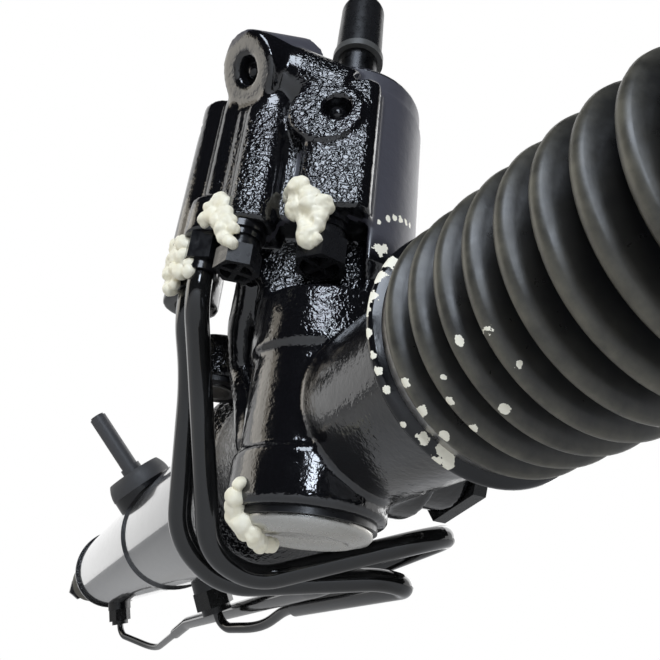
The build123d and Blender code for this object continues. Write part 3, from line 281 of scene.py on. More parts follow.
def make_grain():
    """A small even variation, for roughness and tone."""
    group, start, end = effect_group(
        "fine_grain",
        [("Vector", "NodeSocketVector", None), ("Scale", "NodeSocketFloat", 400.0),
         ("Low", "NodeSocketFloat", 0.0), ("High", "NodeSocketFloat", 1.0)],
        [("Value", "NodeSocketFloat"), ("Height", "NodeSocketFloat")],
    )
    grain = new_node(group, "ShaderNodeTexNoise", Detail=4.0, Roughness=0.6)
    group.links.new(start.outputs["Vector"], grain.inputs["Vector"])
    group.links.new(start.outputs["Scale"], grain.inputs["Scale"])
    spread = new_node(group, "ShaderNodeMapRange", From_Min=0.3, From_Max=0.7)
    group.links.new(grain.outputs["Fac"], spread.inputs["Value"])
    group.links.new(start.outputs["Low"], spread.inputs["To Min"])
    group.links.new(start.outputs["High"], spread.inputs["To Max"])
    group.links.new(spread.outputs["Result"], end.inputs["Value"])
    group.links.new(grain.outputs["Fac"], end.inputs["Height"])
    return group


def make_dab():
    """A ragged blot of paint round a point."""
    group, start, end = effect_group(
        "paint_dab",
        [("Vector", "NodeSocketVector", None), ("Centre", "NodeSocketVector", None),
         ("Radius", "NodeSocketFloat", 0.01), ("Ragged", "NodeSocketFloat", 2.2)],
        [("Mask", "NodeSocketFloat")],
    )
    away = new_node(group, "ShaderNodeVectorMath", operation="SUBTRACT")
    group.links.new(start.outputs["Vector"], away.inputs[0])
    group.links.new(start.outputs["Centre"], away.inputs[1])
    far = new_node(group, "ShaderNodeVectorMath", operation="LENGTH")
    group.links.new(away.outputs[0], far.inputs[0])
    share = new_node(group, "ShaderNodeMath", operation="DIVIDE")
    group.links.new(far.outputs["Value"], share.inputs[0])
    group.links.new(start.outputs["Radius"], share.inputs[1])
    rag = new_node(group, "ShaderNodeTexNoise", Scale=620.0, Detail=3.0, Roughness=0.6)
    group.links.new(start.outputs["Vector"], rag.inputs["Vector"])
    centred = new_node(group, "ShaderNodeMath", operation="SUBTRACT")
    group.links.new(rag.outputs["Fac"], centred.inputs[0])
    centred.inputs[1].default_value = 0.5
    wobble = new_node(group, "ShaderNodeMath", operation="MULTIPLY")
    group.links.new(centred.outputs[0], wobble.inputs[0])
    group.links.new(start.outputs["Ragged"], wobble.inputs[1])
    edge = new_node(group, "ShaderNodeMath", operation="ADD")
    group.links.new(share.outputs[0], edge.inputs[0])
    group.links.new(wobble.outputs[0], edge.inputs[1])
    cut = new_node(group, "ShaderNodeMapRange", From_Min=1.04, From_Max=0.98)
    group.links.new(edge.outputs[0], cut.inputs["Value"])
    group.links.new(cut.outputs["Result"], end.inputs["Mask"])
    return group


PEBBLES, GRAIN, DAB = make_pebbles(), make_grain(), make_dab()
print("effects:", PEBBLES.name, GRAIN.name, DAB.name)

# %% [markdown]
# A finish is a Principled shader whose colour, roughness and relief vary a little, as real
# paint and metal do. A small class keeps the wiring short: it holds the material, its shader
# and the object coordinates, and each effect is one call.

# %% A finish and what can be done to it
class Finish:
    """A material with its shader, and the colour and relief that it has so far."""

    def __init__(self, name, color, metallic=0.0, roughness=0.4, coat=0.0):
        self.material = bpy.data.materials.new(name)
        self.material.use_nodes = True
        self.tree = self.material.node_tree
        self.bsdf = self.tree.nodes["Principled BSDF"]
        self.bsdf.inputs["Base Color"].default_value = (*color, 1)
        self.bsdf.inputs["Metallic"].default_value = metallic
        self.bsdf.inputs["Roughness"].default_value = roughness
        self.bsdf.inputs["Coat Weight"].default_value = coat
        self.bsdf.inputs["Coat Roughness"].default_value = 0.05
        self.where = self.tree.nodes.new("ShaderNodeTexCoord").outputs["Object"]
        self.color = None
        self.normal = None

    def effect(self, group, **values):
        """One of the shared effects on object coordinates, with its own values."""
        node = self.tree.nodes.new("ShaderNodeGroup")
        node.node_tree = group
        self.tree.links.new(self.where, node.inputs["Vector"])
        for key, value in values.items():
            node.inputs[key.replace("_", " ")].default_value = value
        return node

    def relief(self, height, distance):
        """A bump of a height in metres over what relief there is."""
        bump = new_node(self.tree, "ShaderNodeBump", Strength=1.0, Distance=distance)
        self.tree.links.new(height, bump.inputs["Height"])
        if self.normal is not None:
            self.tree.links.new(self.normal, bump.inputs["Normal"])
        self.normal = bump.outputs["Normal"]
        self.tree.links.new(self.normal, self.bsdf.inputs["Normal"])
        return self

    def vary(self, scale, low, high, relief=0.0):
        """Roughness from low to high over a fine grain."""
        grain = self.effect(GRAIN, Scale=scale, Low=low, High=high)
        self.tree.links.new(grain.outputs["Value"], self.bsdf.inputs["Roughness"])
        if relief:
            self.relief(grain.outputs["Height"], relief)
        return self

    def over(self, mask, color, roughness=None):
        """Another colour where the mask is one."""
        mix = self.tree.nodes.new("ShaderNodeMix")
        mix.data_type = "RGBA"
        self.tree.links.new(mask, mix.inputs[0])
        if self.color is None:
            mix.inputs[6].default_value = self.bsdf.inputs["Base Color"].default_value
        else:
            self.tree.links.new(self.color, mix.inputs[6])
        mix.inputs[7].default_value = (*color, 1)
        self.color = mix.outputs[2]
        self.tree.links.new(self.color, self.bsdf.inputs["Base Color"])
        if roughness is not None:
            blend = self.tree.nodes.new("ShaderNodeMix")
            self.tree.links.new(mask, blend.inputs[0])
            source = self.bsdf.inputs["Roughness"]
            if source.is_linked:
                self.tree.links.new(source.links[0].from_socket, blend.inputs[2])
            else:
                blend.inputs[2].default_value = source.default_value
            blend.inputs[3].default_value = roughness
            self.tree.links.new(blend.outputs[0], source)
        return self

    def tone(self, scale, color):
        """Broad patches of another colour."""
        patches = self.effect(GRAIN, Scale=scale, Low=0.0, High=1.0)
        return self.over(patches.outputs["Value"], color)


CREAM = (0.94, 0.90, 0.75)


def dabs(finish, spots):
    """Cream paint round each (x, y, z, radius) spot of the rack's frame."""
    for x, y, z, radius in spots:
        blot = finish.effect(DAB, Centre=place(x, y, z), Radius=radius * MM)
        finish.over(blot.outputs["Mask"], CREAM, 0.45)


# %% [markdown]
# The casting's finish takes its pebbles and its satin, with a painted blue-grey sheen, from the mesh. The other
# finishes are set by their slots, and a few nodes that the photograph shows clearly have one of their own.

# %% Finishes
SKIN_GLOSS = (0.005, 0.005, 0.006)
# The satin colour is painted sheen: lighter and bluer than the black paint, for the cool window's light on the
# tower.
SATIN_SHEEN_BLUE = (0.055, 0.054, 0.068)
PAINT_IOR = 1.72


def casting_finish():
    """Black paint on cast iron: how pebbled and how satin it is comes with the mesh, and the satin part has a
    painted blue-grey sheen.
    """
    finish = Finish("casting_black", SKIN_GLOSS, roughness=0.1)
    finish.bsdf.inputs["IOR"].default_value = PAINT_IOR
    rough = finish.tree.nodes.new("ShaderNodeAttribute")
    rough.attribute_name = "pebbled"
    satin = finish.tree.nodes.new("ShaderNodeAttribute")
    satin.attribute_name = "satin"
    finish.vary(220.0, 0.07, 0.16)
    waves = finish.effect(GRAIN, Scale=170.0)
    finish.relief(waves.outputs["Height"], 0.22 * MM)
    skin = finish.effect(PEBBLES, Lump_Scale=760.0)
    height = new_node(finish.tree, "ShaderNodeMath", operation="MULTIPLY")
    finish.tree.links.new(skin.outputs["Height"], height.inputs[0])
    finish.tree.links.new(rough.outputs["Fac"], height.inputs[1])
    finish.relief(height.outputs[0], 0.26 * MM)
    # Satin parts are rougher, and they get the painted blue-grey sheen.
    finish.over(satin.outputs["Fac"], SATIN_SHEEN_BLUE, 0.5)
    return finish


def pebbled_finish(name, color, lump, height, low, high):
    """Gloss paint over a cast skin that is pebbled all over."""
    finish = Finish(name, color, roughness=0.2)
    finish.vary(300.0, low, high)
    skin = finish.effect(PEBBLES, Lump_Scale=lump)
    finish.relief(skin.outputs["Height"], height * MM)
    return finish


def plug_finish():
    """Moulded black plastic, with less shine than paint."""
    finish = Finish("moulded_black", (0.011, 0.011, 0.012)).vary(400.0, 0.22, 0.36, 0.03 * MM)
    finish.bsdf.inputs["Specular IOR Level"].default_value = 0.36
    return finish


CREST_DUST = (0.14, 0.13, 0.098)


def bellows_finish(name):
    """Rubber that is dusty on its crests and shiny at its lip, as the mesh says."""
    finish = Finish(name, (0.006, 0.0063, 0.0076)).vary(300.0, 0.24, 0.38, 0.05 * MM)
    crest = finish.tree.nodes.new("ShaderNodeAttribute")
    crest.attribute_name = "crest"
    dust = finish.effect(GRAIN, Scale=240.0, Low=0.35, High=1.0)
    both = new_node(finish.tree, "ShaderNodeMath", operation="MULTIPLY")
    finish.tree.links.new(crest.outputs["Fac"], both.inputs[0])
    finish.tree.links.new(dust.outputs["Value"], both.inputs[1])
    finish.over(both.outputs[0], CREST_DUST, 0.5)
    lip = finish.tree.nodes.new("ShaderNodeAttribute")
    lip.attribute_name = "lip"
    finish.over(lip.outputs["Fac"], (0.006, 0.006, 0.007), 0.12)
    return finish


CASTING = casting_finish()
PAINT = {
    "casting": CASTING,
    "cast": pebbled_finish("cast_gloss_black", SKIN_GLOSS, 900.0, 0.12, 0.08, 0.2),
    "tower": pebbled_finish("cast_block_black", SKIN_GLOSS, 900.0, 0.2, 0.08, 0.2),
    "tube": Finish("tube_gloss_black", (0.008, 0.008, 0.008), coat=0.5).vary(180.0, 0.06, 0.14, 0.03 * MM),
    "painted_steel": Finish("painted_black", (0.006, 0.006, 0.007)).vary(260.0, 0.1, 0.25, 0.08 * MM),
    "steel": Finish("turned_steel", (0.42, 0.41, 0.4), 1.0).vary(500.0, 0.25, 0.45),
    "hard_chrome": Finish("chromed_bar", (0.72, 0.72, 0.73), 1.0).vary(200.0, 0.08, 0.16),
    "rubber": Finish("plain_rubber", (0.007, 0.0072, 0.0085)).vary(300.0, 0.26, 0.4, 0.05 * MM),
    "bellows": bellows_finish("bellows_rubber"),
    "stud": Finish("stud_grey", (0.07, 0.07, 0.073), 0.3).vary(300.0, 0.35, 0.5, 0.03 * MM),
    "grey_rubber": Finish("grey_rubber", (0.045, 0.045, 0.047)).vary(300.0, 0.45, 0.6, 0.05 * MM),
    "zinc": Finish("dull_zinc", (0.5, 0.49, 0.46), 1.0).vary(260.0, 0.2, 0.36, 0.04 * MM),
    "plastic": plug_finish(),
    "pale_plastic": Finish("pale_plastic", (0.7, 0.68, 0.6)).vary(400.0, 0.35, 0.5, 0.03 * MM),
    "cylinder": Finish("cylinder_black", (0.05, 0.05, 0.052), coat=1.0).vary(180.0, 0.1, 0.2, 0.03 * MM),
    "dark_steel": Finish("dark_steel", (0.07, 0.07, 0.072), 1.0).vary(500.0, 0.25, 0.4),
    "dark_collar": Finish("dark_collar", (0.075, 0.075, 0.072)).vary(400.0, 0.35, 0.5, 0.03 * MM),
    "black_zinc": Finish("black_zinc", (0.012, 0.012, 0.012), 0.2).vary(400.0, 0.18, 0.34, 0.03 * MM),
}
PAINTED_OVER = ("ball_plugs", "port_adapters", "valve_pipe_nuts", "port_bosses", "far_mount_saddle")
SPECIAL = dict.fromkeys(PAINTED_OVER, "painted_steel")
SPECIAL.update(far_mount_stud="stud", far_mount_bush="grey_rubber", bottom_cap="zinc")
SPECIAL.update(cylinder_tube="cylinder", input_shaft="dark_steel", shaft_collar="dark_collar")
slots = {part["node"]: part["material_slot"] for part in frame["record"]["subparts"]}
for name, node in frame["nodes"].items():
    finish = PAINT[SPECIAL.get(name, slots[name])]
    node.data.materials.clear()
    node.data.materials.append(finish.material)
print(len(frame["nodes"]), "nodes painted in", len(PAINT), "finishes")

# %% [markdown]
# New pieces are made with bmesh in millimetres of the rack's frame, and moved to the scene
# once, when they become objects, so that every object sits at the origin. One function does
# the closing steps: doubles merged, faces turned outwards, edges sharper than an angle kept
# sharp, a finish given, and the piece put on its body.

# %% From bmesh to a finished piece
def make_piece(name, bm, finish, body, sharp=35.0, outward=True, in_scene=False):
    """A bmesh in the rack's millimetres as a finished object on a body."""
    if not in_scene:
        bmesh.ops.transform(bm, matrix=TO_SCENE, verts=bm.verts)
    bmesh.ops.remove_doubles(bm, verts=bm.verts, dist=0.004 * MM)
    if outward:
        bmesh.ops.recalc_face_normals(bm, faces=bm.faces)
    for face in bm.faces:
        face.smooth = True
    limit = math.radians(sharp)
    for edge in bm.edges:
        if len(edge.link_faces) == 2:
            edge.smooth = edge.calc_face_angle(0.0) < limit
    mesh = bpy.data.meshes.new(name)
    bm.to_mesh(mesh)
    bm.free()
    piece = bpy.data.objects.new(name, mesh)
    bpy.context.scene.collection.objects.link(piece)
    mesh.materials.append(finish)
    if body:
        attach(piece, body)
    print(name, len(mesh.polygons), "faces")
    return piece


def spin_about_x(bm, profile, steps):
    """Turns (x, radius) points once round the rack's axis."""
    verts = [bm.verts.new((x, 0, r)) for x, r in profile]
    edges = [bm.edges.new(pair) for pair in zip(verts, verts[1:])]
    bmesh.ops.spin(
        bm, geom=verts + edges, cent=(0, 0, 0), axis=(1, 0, 0), dvec=(0, 0, 0),
        angle=2 * math.pi, steps=steps, use_merge=True,
    )
    return bm


# %% [markdown]
# The bellows is what the eye goes to on the right of the picture: deep folds with rounded crests, a stiff lip over
# the neck, and a taper. A fold is drawn once as a short row of (x, radius) points, repeated with the taper, and
# the whole line is spun round the rack's axis. Each bellows is made as two pieces, its folds and its tail, split
# along its length.

# %% Bellows
MOUTH_X = {"near": 60.0, "far": -480.0}
BELLOWS_LENGTH = 150.0
FOLD_PITCH = 7.4
FIRST_CREST = 7.0
LIP_R = 27.4
CREST_R = 27.0
CREST_TAPER = 0.058
FOLD_DEPTH = 5.4
SPLIT_AT = 104.0
CUFF_FROM = 141.0
CUFF_R = 10.9
ROD_R = 8.1
WALL = 1.3
CREST_SHARE = 0.3
LIP_WIDTH = 2.4
BELLOWS_SIDES = 96


def fold_points(crest_at, crest_r):
    """One fold from valley to valley: a narrow round valley and a fuller round crest."""
    half = FOLD_PITCH / 2
    points = []
    for share, height in (
        (-1.0, 0.0), (-0.86, 0.07), (-0.5, 0.58), (-0.36, 0.84), (-0.2, 0.96), (0.0, 1.0),
        (0.2, 0.96), (0.36, 0.84), (0.5, 0.58), (0.86, 0.07),
    ):
        points.append((crest_at + share * half, crest_r - FOLD_DEPTH * (1 - height)))
    return points


def bellows_outline():
    """The outside of a bellows from its mouth to its small cuff, as (distance, radius)."""
    points = [
        (0.0, LIP_R - 0.9), (0.25, LIP_R - 0.3), (0.9, LIP_R), (1.6, LIP_R - 0.2), (2.2, LIP_R - 0.9),
        (2.6, 24.6), (3.0, 24.2), (3.6, 24.0),
    ]
    crest = FIRST_CREST
    while crest + FOLD_PITCH / 2 < CUFF_FROM - 2:
        points += fold_points(crest, CREST_R - CREST_TAPER * crest)
        crest += FOLD_PITCH
    last_r = CREST_R - CREST_TAPER * crest - FOLD_DEPTH
    points += [(CUFF_FROM - 3.5, last_r), (CUFF_FROM - 1.0, CUFF_R + 1.0), (CUFF_FROM, CUFF_R)]
    points += [(CUFF_FROM + 3.0, CUFF_R), (CUFF_FROM + 6.0, CUFF_R), (BELLOWS_LENGTH - 0.4, CUFF_R)]
    return points + [(BELLOWS_LENGTH, CUFF_R - 0.5), (BELLOWS_LENGTH, ROD_R)]


def bellows_part(name, side, mouth, low, high):
    """The part of a bellows between two distances from its mouth, with a wall."""
    outline = [point for point in bellows_outline() if low <= point[0] <= high]
    bm = bmesh.new()
    spin_about_x(bm, [(mouth + side * x, r) for x, r in outline], BELLOWS_SIDES)
    bmesh.ops.remove_doubles(bm, verts=bm.verts, dist=0.001)
    bmesh.ops.recalc_face_normals(bm, faces=bm.faces)
    outside = sum(f.normal.dot(Vector((0, *f.calc_center_median().yz))) for f in bm.faces)
    if outside < 0:
        bmesh.ops.reverse_faces(bm, faces=bm.faces)
    bmesh.ops.solidify(bm, geom=bm.faces[:], thickness=WALL)
    crest = bm.verts.layers.float.new("crest")
    lip = bm.verts.layers.float.new("lip")
    for vert in bm.verts:
        along = side * (vert.co.x - mouth)
        phase = (along - FIRST_CREST + FOLD_PITCH / 2) % FOLD_PITCH / FOLD_PITCH - 0.5
        if along > FIRST_CREST - FOLD_PITCH / 2:
            vert[crest] = max(0.0, 1 - abs(phase) / CREST_SHARE)
        vert[lip] = 1.0 if along < LIP_WIDTH else 0.0
    return make_piece(name, bm, PAINT["bellows"].material, None, sharp=60.0)


for end, side in (("near", 1), ("far", -1)):
    mouth = MOUTH_X[end]
    folds = bellows_part(end + "_bellows_folds", side, mouth, 0.0, SPLIT_AT)
    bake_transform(folds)
    tail = bellows_part(end + "_bellows_tail", side, mouth, SPLIT_AT - 0.01, BELLOWS_LENGTH)
    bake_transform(tail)
    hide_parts(end + "_bellows")

# %% [markdown]
# The two castings carry the look of the part: sand-cast iron with soft corners, pebbled
# where the mould left it rough and glossy where it ran smooth. Sharp solids don't look
# cast, so both housings are copied from their solids, given one more rib as a row of plain
# closed shapes, and remeshed as one skin. Smoothing that skin rounds every inner and outer
# corner by about a millimetre, as fillets do on a real casting. The skin is then cut where
# the two solids meet, so that each solid keeps a piece of its own.

# %% Shapes to fuse
ROD_SIDES = 32


def add_rod(bm, start, end, radius, end_radius):
    """A closed tapering bar between two points of the rack's frame."""
    a, b = Vector(start), Vector(end)
    made = bmesh.ops.create_cone(
        bm, cap_ends=True, segments=ROD_SIDES, radius1=radius, radius2=end_radius, depth=(b - a).length,
    )
    turned = (b - a).to_track_quat("Z", "Y").to_matrix().to_4x4()
    bmesh.ops.transform(bm, matrix=Matrix.Translation((a + b) / 2) @ turned, verts=made["verts"])


def add_ball(bm, at, radius):
    """A closed ball at a point of the rack's frame."""
    made = bmesh.ops.create_icosphere(bm, subdivisions=3, radius=radius)
    bmesh.ops.translate(bm, vec=at, verts=made["verts"])


def smoothed(bm, verts, rounds):
    """Corners rounded by moving each vertex half way to its neighbours, some rounds over."""
    for _ in range(rounds):
        bmesh.ops.smooth_vert(bm, verts=verts, factor=0.5, use_axis_x=True, use_axis_y=True, use_axis_z=True)


def fused_skin(bm, voxel, rounds):
    """Closed shapes of the scene as one bmesh skin, with its corners rounded by smoothing."""
    mesh = bpy.data.meshes.new("raw_shapes")
    bm.to_mesh(mesh)
    bm.free()
    raw = bpy.data.objects.new("raw_shapes", mesh)
    bpy.context.scene.collection.objects.link(raw)
    remesh = raw.modifiers.new("one_skin", "REMESH")
    remesh.mode = "VOXEL"
    remesh.voxel_size = voxel * MM
    skin = bpy.data.meshes.new_from_object(raw.evaluated_get(bpy.context.evaluated_depsgraph_get()))
    bpy.data.objects.remove(raw)
    bm = bmesh.new()
    bm.from_mesh(skin)
    smoothed(bm, bm.verts, rounds)
    return bm


# %% [markdown]
# Where the skin is pebbled and where it is satin depends on the place: the block's front faces are rough, its
# columns and the barrel ran smooth, and the tower's turned side is satin, with a blue-grey sheen painted on. Each
# vertex gets both values, and the paint reads them as attributes, so one finish covers the whole casting with soft
# changes between.

# %% Where the casting is rough, or satin with a painted sheen
TOWER_R = 23.8
TOWER_SLACK = 0.8
TOWER_FOOT_Z = 40.0
TOWER_TOP_Z = 107.5
SEAM_Z = 27.0
BARREL_TOP_Z = SEAM_Z + 6
BLOCK_FRONT = 28.0
UPPER_BOSS_AT = (10.1, -51.1, 99.8)
UPPER_BOSS_AXIS = (0.25, -0.80, -0.55)
BLOCK_TURN = math.radians(30)
BLOCK_U = Vector((math.cos(BLOCK_TURN), -math.sin(BLOCK_TURN), 0))
BLOCK_V = Vector((math.sin(BLOCK_TURN), math.cos(BLOCK_TURN), 0))
AXIS = Vector((0, PINION_Y, 0))


def block(u, v, z):
    """A point of the valve block's own turned frame."""
    return AXIS + BLOCK_U * u + BLOCK_V * v + Vector((0, 0, z))


def ramp(value, low, high):
    """0 below low, 1 above high, straight between."""
    return min(max((value - low) / (high - low), 0.0), 1.0)


def skin_values(vert):
    """How pebbled the skin is at a vertex, and how satin with a painted blue-grey sheen."""
    here = (vert.co - RACK) / MM
    away = here - AXIS
    out = math.hypot(away.x, away.y)
    front = ramp(vert.normal.dot(BLOCK_U), 0.78, 0.93)
    if here.z > BARREL_TOP_Z:
        on_tower = 1.0 if abs(out - TOWER_R) < TOWER_SLACK else 0.0
        from_boss = (here - Vector(UPPER_BOSS_AT)).length
        rough_front = front * (1 - on_tower) * ramp(from_boss, 15, 20) * ramp(away.dot(BLOCK_V), -35, -31)
        pebbled = 0.06 + 0.94 * rough_front
        satin = on_tower * ramp(here.z, TOWER_FOOT_Z, TOWER_FOOT_Z + 8)
        if here.z > TOWER_TOP_Z:
            satin = 1.0
        return pebbled, satin
    fillet = ramp(here.x, 11, 26) * (1 - ramp(here.x, 34, 46)) * ramp(here.z, 8, 18)
    return 0.1 + 0.8 * fillet + 0.5 * ramp(-here.x, 18, 30) * (1 - fillet), 0.0


def cast_piece(name, bm, keep_above, node):
    """One side of the cut skin as a piece that stands for its solid."""
    half = bm.copy()
    bmesh.ops.bisect_plane(
        half, geom=half.verts[:] + half.edges[:] + half.faces[:], plane_co=place(0, 0, SEAM_Z),
        plane_no=(0, 0, 1), clear_inner=keep_above, clear_outer=not keep_above,
    )
    pebbled = half.verts.layers.float.new("pebbled")
    satin = half.verts.layers.float.new("satin")
    for vert in half.verts:
        vert[pebbled], vert[satin] = skin_values(vert)
    piece = make_piece(name, half, PAINT["casting"].material, "housing", sharp=180, outward=False,
                       in_scene=True)
    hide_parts(node)


# %% [markdown]
# The added rib runs from the block down the barrel, on the side of the pipes. The upper
# slanting boss is smoothed some rounds more than the rest, because its edge is the softest in
# the photograph.

# %% The castings
SKIN_VOXEL = 0.85
SKIN_ROUNDS = 3
SOFT_RADIUS = 15.0
SOFT_ROUNDS = 6
RIB_POINTS = [
    (-6, -33, 40, 5.5), (-19, -31, 30, 5.0), (-27, -27, 20, 4.6), (-22, -24, 9, 5.5), (-17, -22, -4, 6.5),
]
shapes = bmesh.new()
for (x0, y0, z0, r0), (x1, y1, z1, r1) in zip(RIB_POINTS, RIB_POINTS[1:]):
    add_rod(shapes, (x0, y0, z0), (x1, y1, z1), r0, r1)
    add_ball(shapes, (x1, y1, z1), r1)
bmesh.ops.transform(shapes, matrix=TO_SCENE, verts=shapes.verts)
for node_name in ("valve_housing", "rack_housing"):
    shapes.from_mesh(frame["nodes"][node_name].data)
bmesh.ops.remove_doubles(shapes, verts=shapes.verts, dist=0.002 * MM)
skin = fused_skin(shapes, SKIN_VOXEL, SKIN_ROUNDS)
boss = Vector(UPPER_BOSS_AT)
near = [vert for vert in skin.verts if ((vert.co - RACK) / MM - boss).length < SOFT_RADIUS]
smoothed(skin, near, SOFT_ROUNDS)
print("skin", len(skin.faces), "faces")
cast_piece("valve_casting", skin, True, "valve_housing")
cast_piece("rack_casting", skin, False, "rack_housing")
skin.free()

# %% [markdown]
# Each cross-drilling of the block is closed by a ball pressed in deep. Its seat is one turned
# line: the ball's dome, the dark gap round it, and the drilling's wall up to its mouth. The
# bottom cap is turned the same way, as a dished plate with a raised ring.

# %% Turned details
def lathe(name, profile, at, axis, finish, steps=48):
    """A line of (radius, height) points turned round an axis through a point."""
    bm = bmesh.new()
    verts = [bm.verts.new((r, 0, h)) for r, h in profile]
    edges = [bm.edges.new(pair) for pair in zip(verts, verts[1:])]
    bmesh.ops.spin(bm, geom=verts + edges, cent=(0, 0, 0), axis=(0, 0, 1), dvec=(0, 0, 0),
                   angle=2 * math.pi, steps=steps, use_merge=True)
    turned = Vector(axis).to_track_quat("Z", "Y").to_matrix().to_4x4()
    bmesh.ops.transform(bm, matrix=Matrix.Translation(Vector(at)) @ turned, verts=bm.verts)
    return make_piece(name, bm, finish.material, "housing", sharp=50.0)


def dome(radius, base, steps=10):
    """Points of a ball's dome from its rim to its top."""
    return [
        (radius * math.cos(math.pi / 2 * k / steps), base + radius * math.sin(math.pi / 2 * k / steps))
        for k in range(steps + 1)
    ]


BALL_SHOWN_R = 2.5
SEAT_LINE = [(4.0, -1.2), (3.7, -3.4), (3.0, -4.4), (2.7, -4.5)] + dome(BALL_SHOWN_R, -4.1)
seats = [
    (block(BLOCK_FRONT + 1.5, 0.1, 84.3), BLOCK_U),
    (block(6.0, -48.7, 94.0), -BLOCK_V),
    (UPPER_BOSS_AT, UPPER_BOSS_AXIS),
]
for number, (at, axis) in enumerate(seats):
    seat = lathe("ball_seat_" + str(number + 1), SEAT_LINE, at, axis, PAINT["painted_steel"])
    if number == 0:
        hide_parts("ball_plugs")
CAP_LINE = [
    (14.0, -27.4), (17.2, -28.7), (17.2, -29.9), (16.4, -30.8), (14.6, -31.3), (12.8, -31.9), (11.4, -32.0),
    (10.6, -31.6), (9.6, -31.0), (6.0, -30.7), (3.0, -30.6), (0.0, -30.6),
]
cap = lathe("bottom_cap_plate", CAP_LINE, AXIS, (0, 0, 1), PAINT["zinc"], steps=96)
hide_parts("bottom_cap")

# %% [markdown]
# Cream paint was dabbed over the fittings, the pipe block and the foot of the barrel, thick enough to round off
# what it covers. Each dab is a heap of balls, fused to one skin and pushed in and out by noise, so that its edge
# is ragged and its face lumpy. The balls are half sunk in what they lie on.

# %% Cream paint
CREAM_PAINT = Finish("cream_paint", CREAM).vary(500.0, 0.35, 0.55, 0.05 * MM)
# The darker yellow patches are painted shade: the yellow that the cream takes in its shadows, laid in random
# patches.
CREAM_PAINT.tone(300.0, (0.88, 0.82, 0.62))
DAB_VOXEL = 0.4
DAB_ROUNDS = 4
DAB_SWELL = 0.4
COARSE_SCALE = 260.0
FINE_SCALE = 800.0
FINE_SHARE = 0.3


def paint_dab(name, spots, lump):
    """Thick paint over (x, y, z, radius) spots of the rack's frame."""
    bm = bmesh.new()
    for x, y, z, radius in spots:
        add_ball(bm, (x, y, z), radius)
    bmesh.ops.transform(bm, matrix=TO_SCENE, verts=bm.verts)
    skin = fused_skin(bm, DAB_VOXEL, DAB_ROUNDS)
    bmesh.ops.recalc_face_normals(skin, faces=skin.faces)
    skin.normal_update()
    for vert in skin.verts:
        coarse = noise.noise(vert.co * COARSE_SCALE)
        fine = noise.noise(vert.co * FINE_SCALE)
        vert.co += vert.normal * (lump * coarse + FINE_SHARE * lump * fine + DAB_SWELL) * MM
    make_piece(name, skin, CREAM_PAINT.material, "housing", sharp=180, in_scene=True)


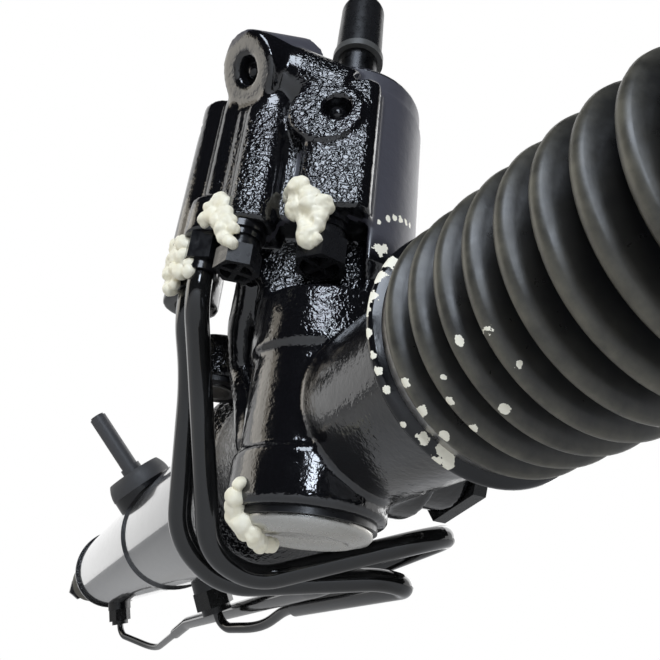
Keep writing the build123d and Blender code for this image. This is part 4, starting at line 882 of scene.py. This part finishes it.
DABS = {
    "return_fitting_paint": (1.3, [
        (13.6, -31.9, 57.6, 2.2), (17.0, -32.0, 57.5, 2.6), (20.1, -31.6, 55.6, 3.0),
        (18.4, -31.0, 53.0, 3.0), (22.2, -29.5, 52.6, 2.6), (18.2, -31.0, 50.0, 2.8),
        (21.8, -28.4, 49.8, 3.0), (25.0, -25.6, 49.6, 2.4), (19.8, -29.0, 47.0, 2.6),
        (23.4, -26.4, 46.4, 2.6), (20.4, -28.4, 44.2, 2.3), (23.2, -26.2, 43.4, 2.0),
        (20.0, -28.8, 41.8, 2.2), (22.4, -27.4, 41.2, 2.2), (21.4, -28.0, 39.0, 1.9),
        (23.6, -26.4, 39.4, 1.5),
    ]),
    "pressure_fitting_paint": (1.3, [
        (3.6, -49.4, 55.0, 2.6), (1.4, -51.0, 53.2, 2.6), (5.4, -48.2, 52.6, 2.4),
        (0.4, -51.8, 50.0, 2.0), (3.6, -49.8, 50.2, 2.4), (6.4, -48.2, 49.6, 2.4),
        (8.4, -47.4, 47.6, 2.2), (6.0, -48.8, 46.8, 2.2), (9.4, -46.8, 45.2, 2.2),
        (8.6, -47.2, 43.0, 2.2), (11.0, -45.4, 42.8, 1.8), (8.6, -46.8, 40.6, 1.9),
        (10.6, -45.4, 38.6, 1.5),
    ]),
    "pipe_block_paint": (1.2, [
        (-24.0, -53.7, 50.0, 2.6), (-20.0, -54.4, 49.0, 3.0), (-16.0, -55.0, 48.0, 3.0),
        (-12.7, -54.8, 47.4, 2.6), (-8.8, -54.4, 46.0, 2.4), (-26.0, -53.4, 46.0, 2.6),
        (-21.0, -54.2, 44.6, 3.2), (-16.4, -55.0, 44.0, 3.0), (-11.8, -54.8, 43.0, 2.6),
        (-24.0, -54.0, 41.0, 2.6), (-18.6, -54.6, 40.0, 2.8), (-13.4, -54.6, 39.0, 2.4),
        (-8.6, -54.0, 41.0, 2.2), (-9.6, -53.8, 37.4, 2.0), (-14.6, -54.4, 35.4, 2.0),
        (-19.0, -54.6, 36.4, 2.2), (-4.6, -53.2, 37.6, 1.5), (-4.2, -52.4, 35.0, 1.2),
    ]),
    "barrel_foot_paint": (1.0, [
        (6.6, -31.4, -22.6, 1.3), (5.0, -31.6, -25.4, 1.8), (2.8, -30.8, -27.4, 2.2),
        (0.8, -29.2, -29.2, 2.4), (3.0, -28.2, -30.6, 2.2), (0.4, -26.6, -32.0, 2.2),
        (3.2, -25.6, -32.6, 2.0), (0.6, -23.6, -33.4, 2.0), (-1.6, -21.6, -33.6, 1.8),
        (-3.4, -19.4, -33.4, 1.5), (-5.0, -17.4, -33.2, 1.1),
    ]),
}
for name, (lump, spots) in DABS.items():
    paint_dab(name, spots, lump)
print(len(DABS), "dabs of cream paint")

# %% [markdown]
# Thin specks of the same paint lie on the near bellows and on the tower. They have no
# thickness to speak of, so they are blots in the material of what they lie on.

# %% Specks
BELLOWS_SPECKS = [
    (60.8, -26.6, 4.0, 1.5), (60.6, -27.0, 0.8, 1.2), (61.4, -26.0, 8.6, 1.6), (62.0, -24.2, 12.6, 1.8),
    (61.6, -27.0, -4.0, 0.9), (62.4, -26.2, -8.4, 1.1), (62.0, -25.0, -11.4, 0.9),
    (62.4, -23.2, -14.4, 1.0), (83.4, -21.7, -12.8, 0.9), (62.2, -10.5, -22.8, 1.6),
    (61.4, -9.4, -24.6, 1.4), (61.0, -11.6, -25.2, 1.3), (83.0, -13.2, -22.1, 1.0),
    (91.0, -16.6, -18.4, 0.8), (70.0, -24.0, -9.0, 0.7), (76.0, -20.0, -16.0, 0.7),
    (67.2, -22.0, -14.6, 1.0), (67.0, -18.4, -19.0, 1.1), (67.2, -14.0, -22.4, 1.0),
    (74.6, -17.6, -19.0, 0.8), (74.4, -13.0, -22.6, 0.9), (89.2, -20.6, -13.0, 1.0),
    (61.6, -15.0, -21.4, 1.2), (61.2, -18.4, -19.6, 0.8),
]
HOUSING_SPECKS = [
    (24.0, -9.0, 51.5, 0.8), (23.2, -6.0, 54.0, 0.9), (22.4, -3.6, 55.6, 1.0), (21.6, -1.2, 56.6, 1.0),
    (20.2, 1.2, 57.4, 0.9), (18.6, 3.4, 58.0, 0.8), (23.6, -8.2, 42.6, 1.8), (23.3, -6.6, 43.6, 1.4),
]
CREAM_RUBBER = bellows_finish("bellows_rubber_specked")
dabs(CREAM_RUBBER, BELLOWS_SPECKS)
bpy.data.objects["near_bellows_folds"].data.materials[0] = CREAM_RUBBER.material
dabs(CASTING, HOUSING_SPECKS)
print(len(BELLOWS_SPECKS), "specks on the bellows,", len(HOUSING_SPECKS), "on the tower")
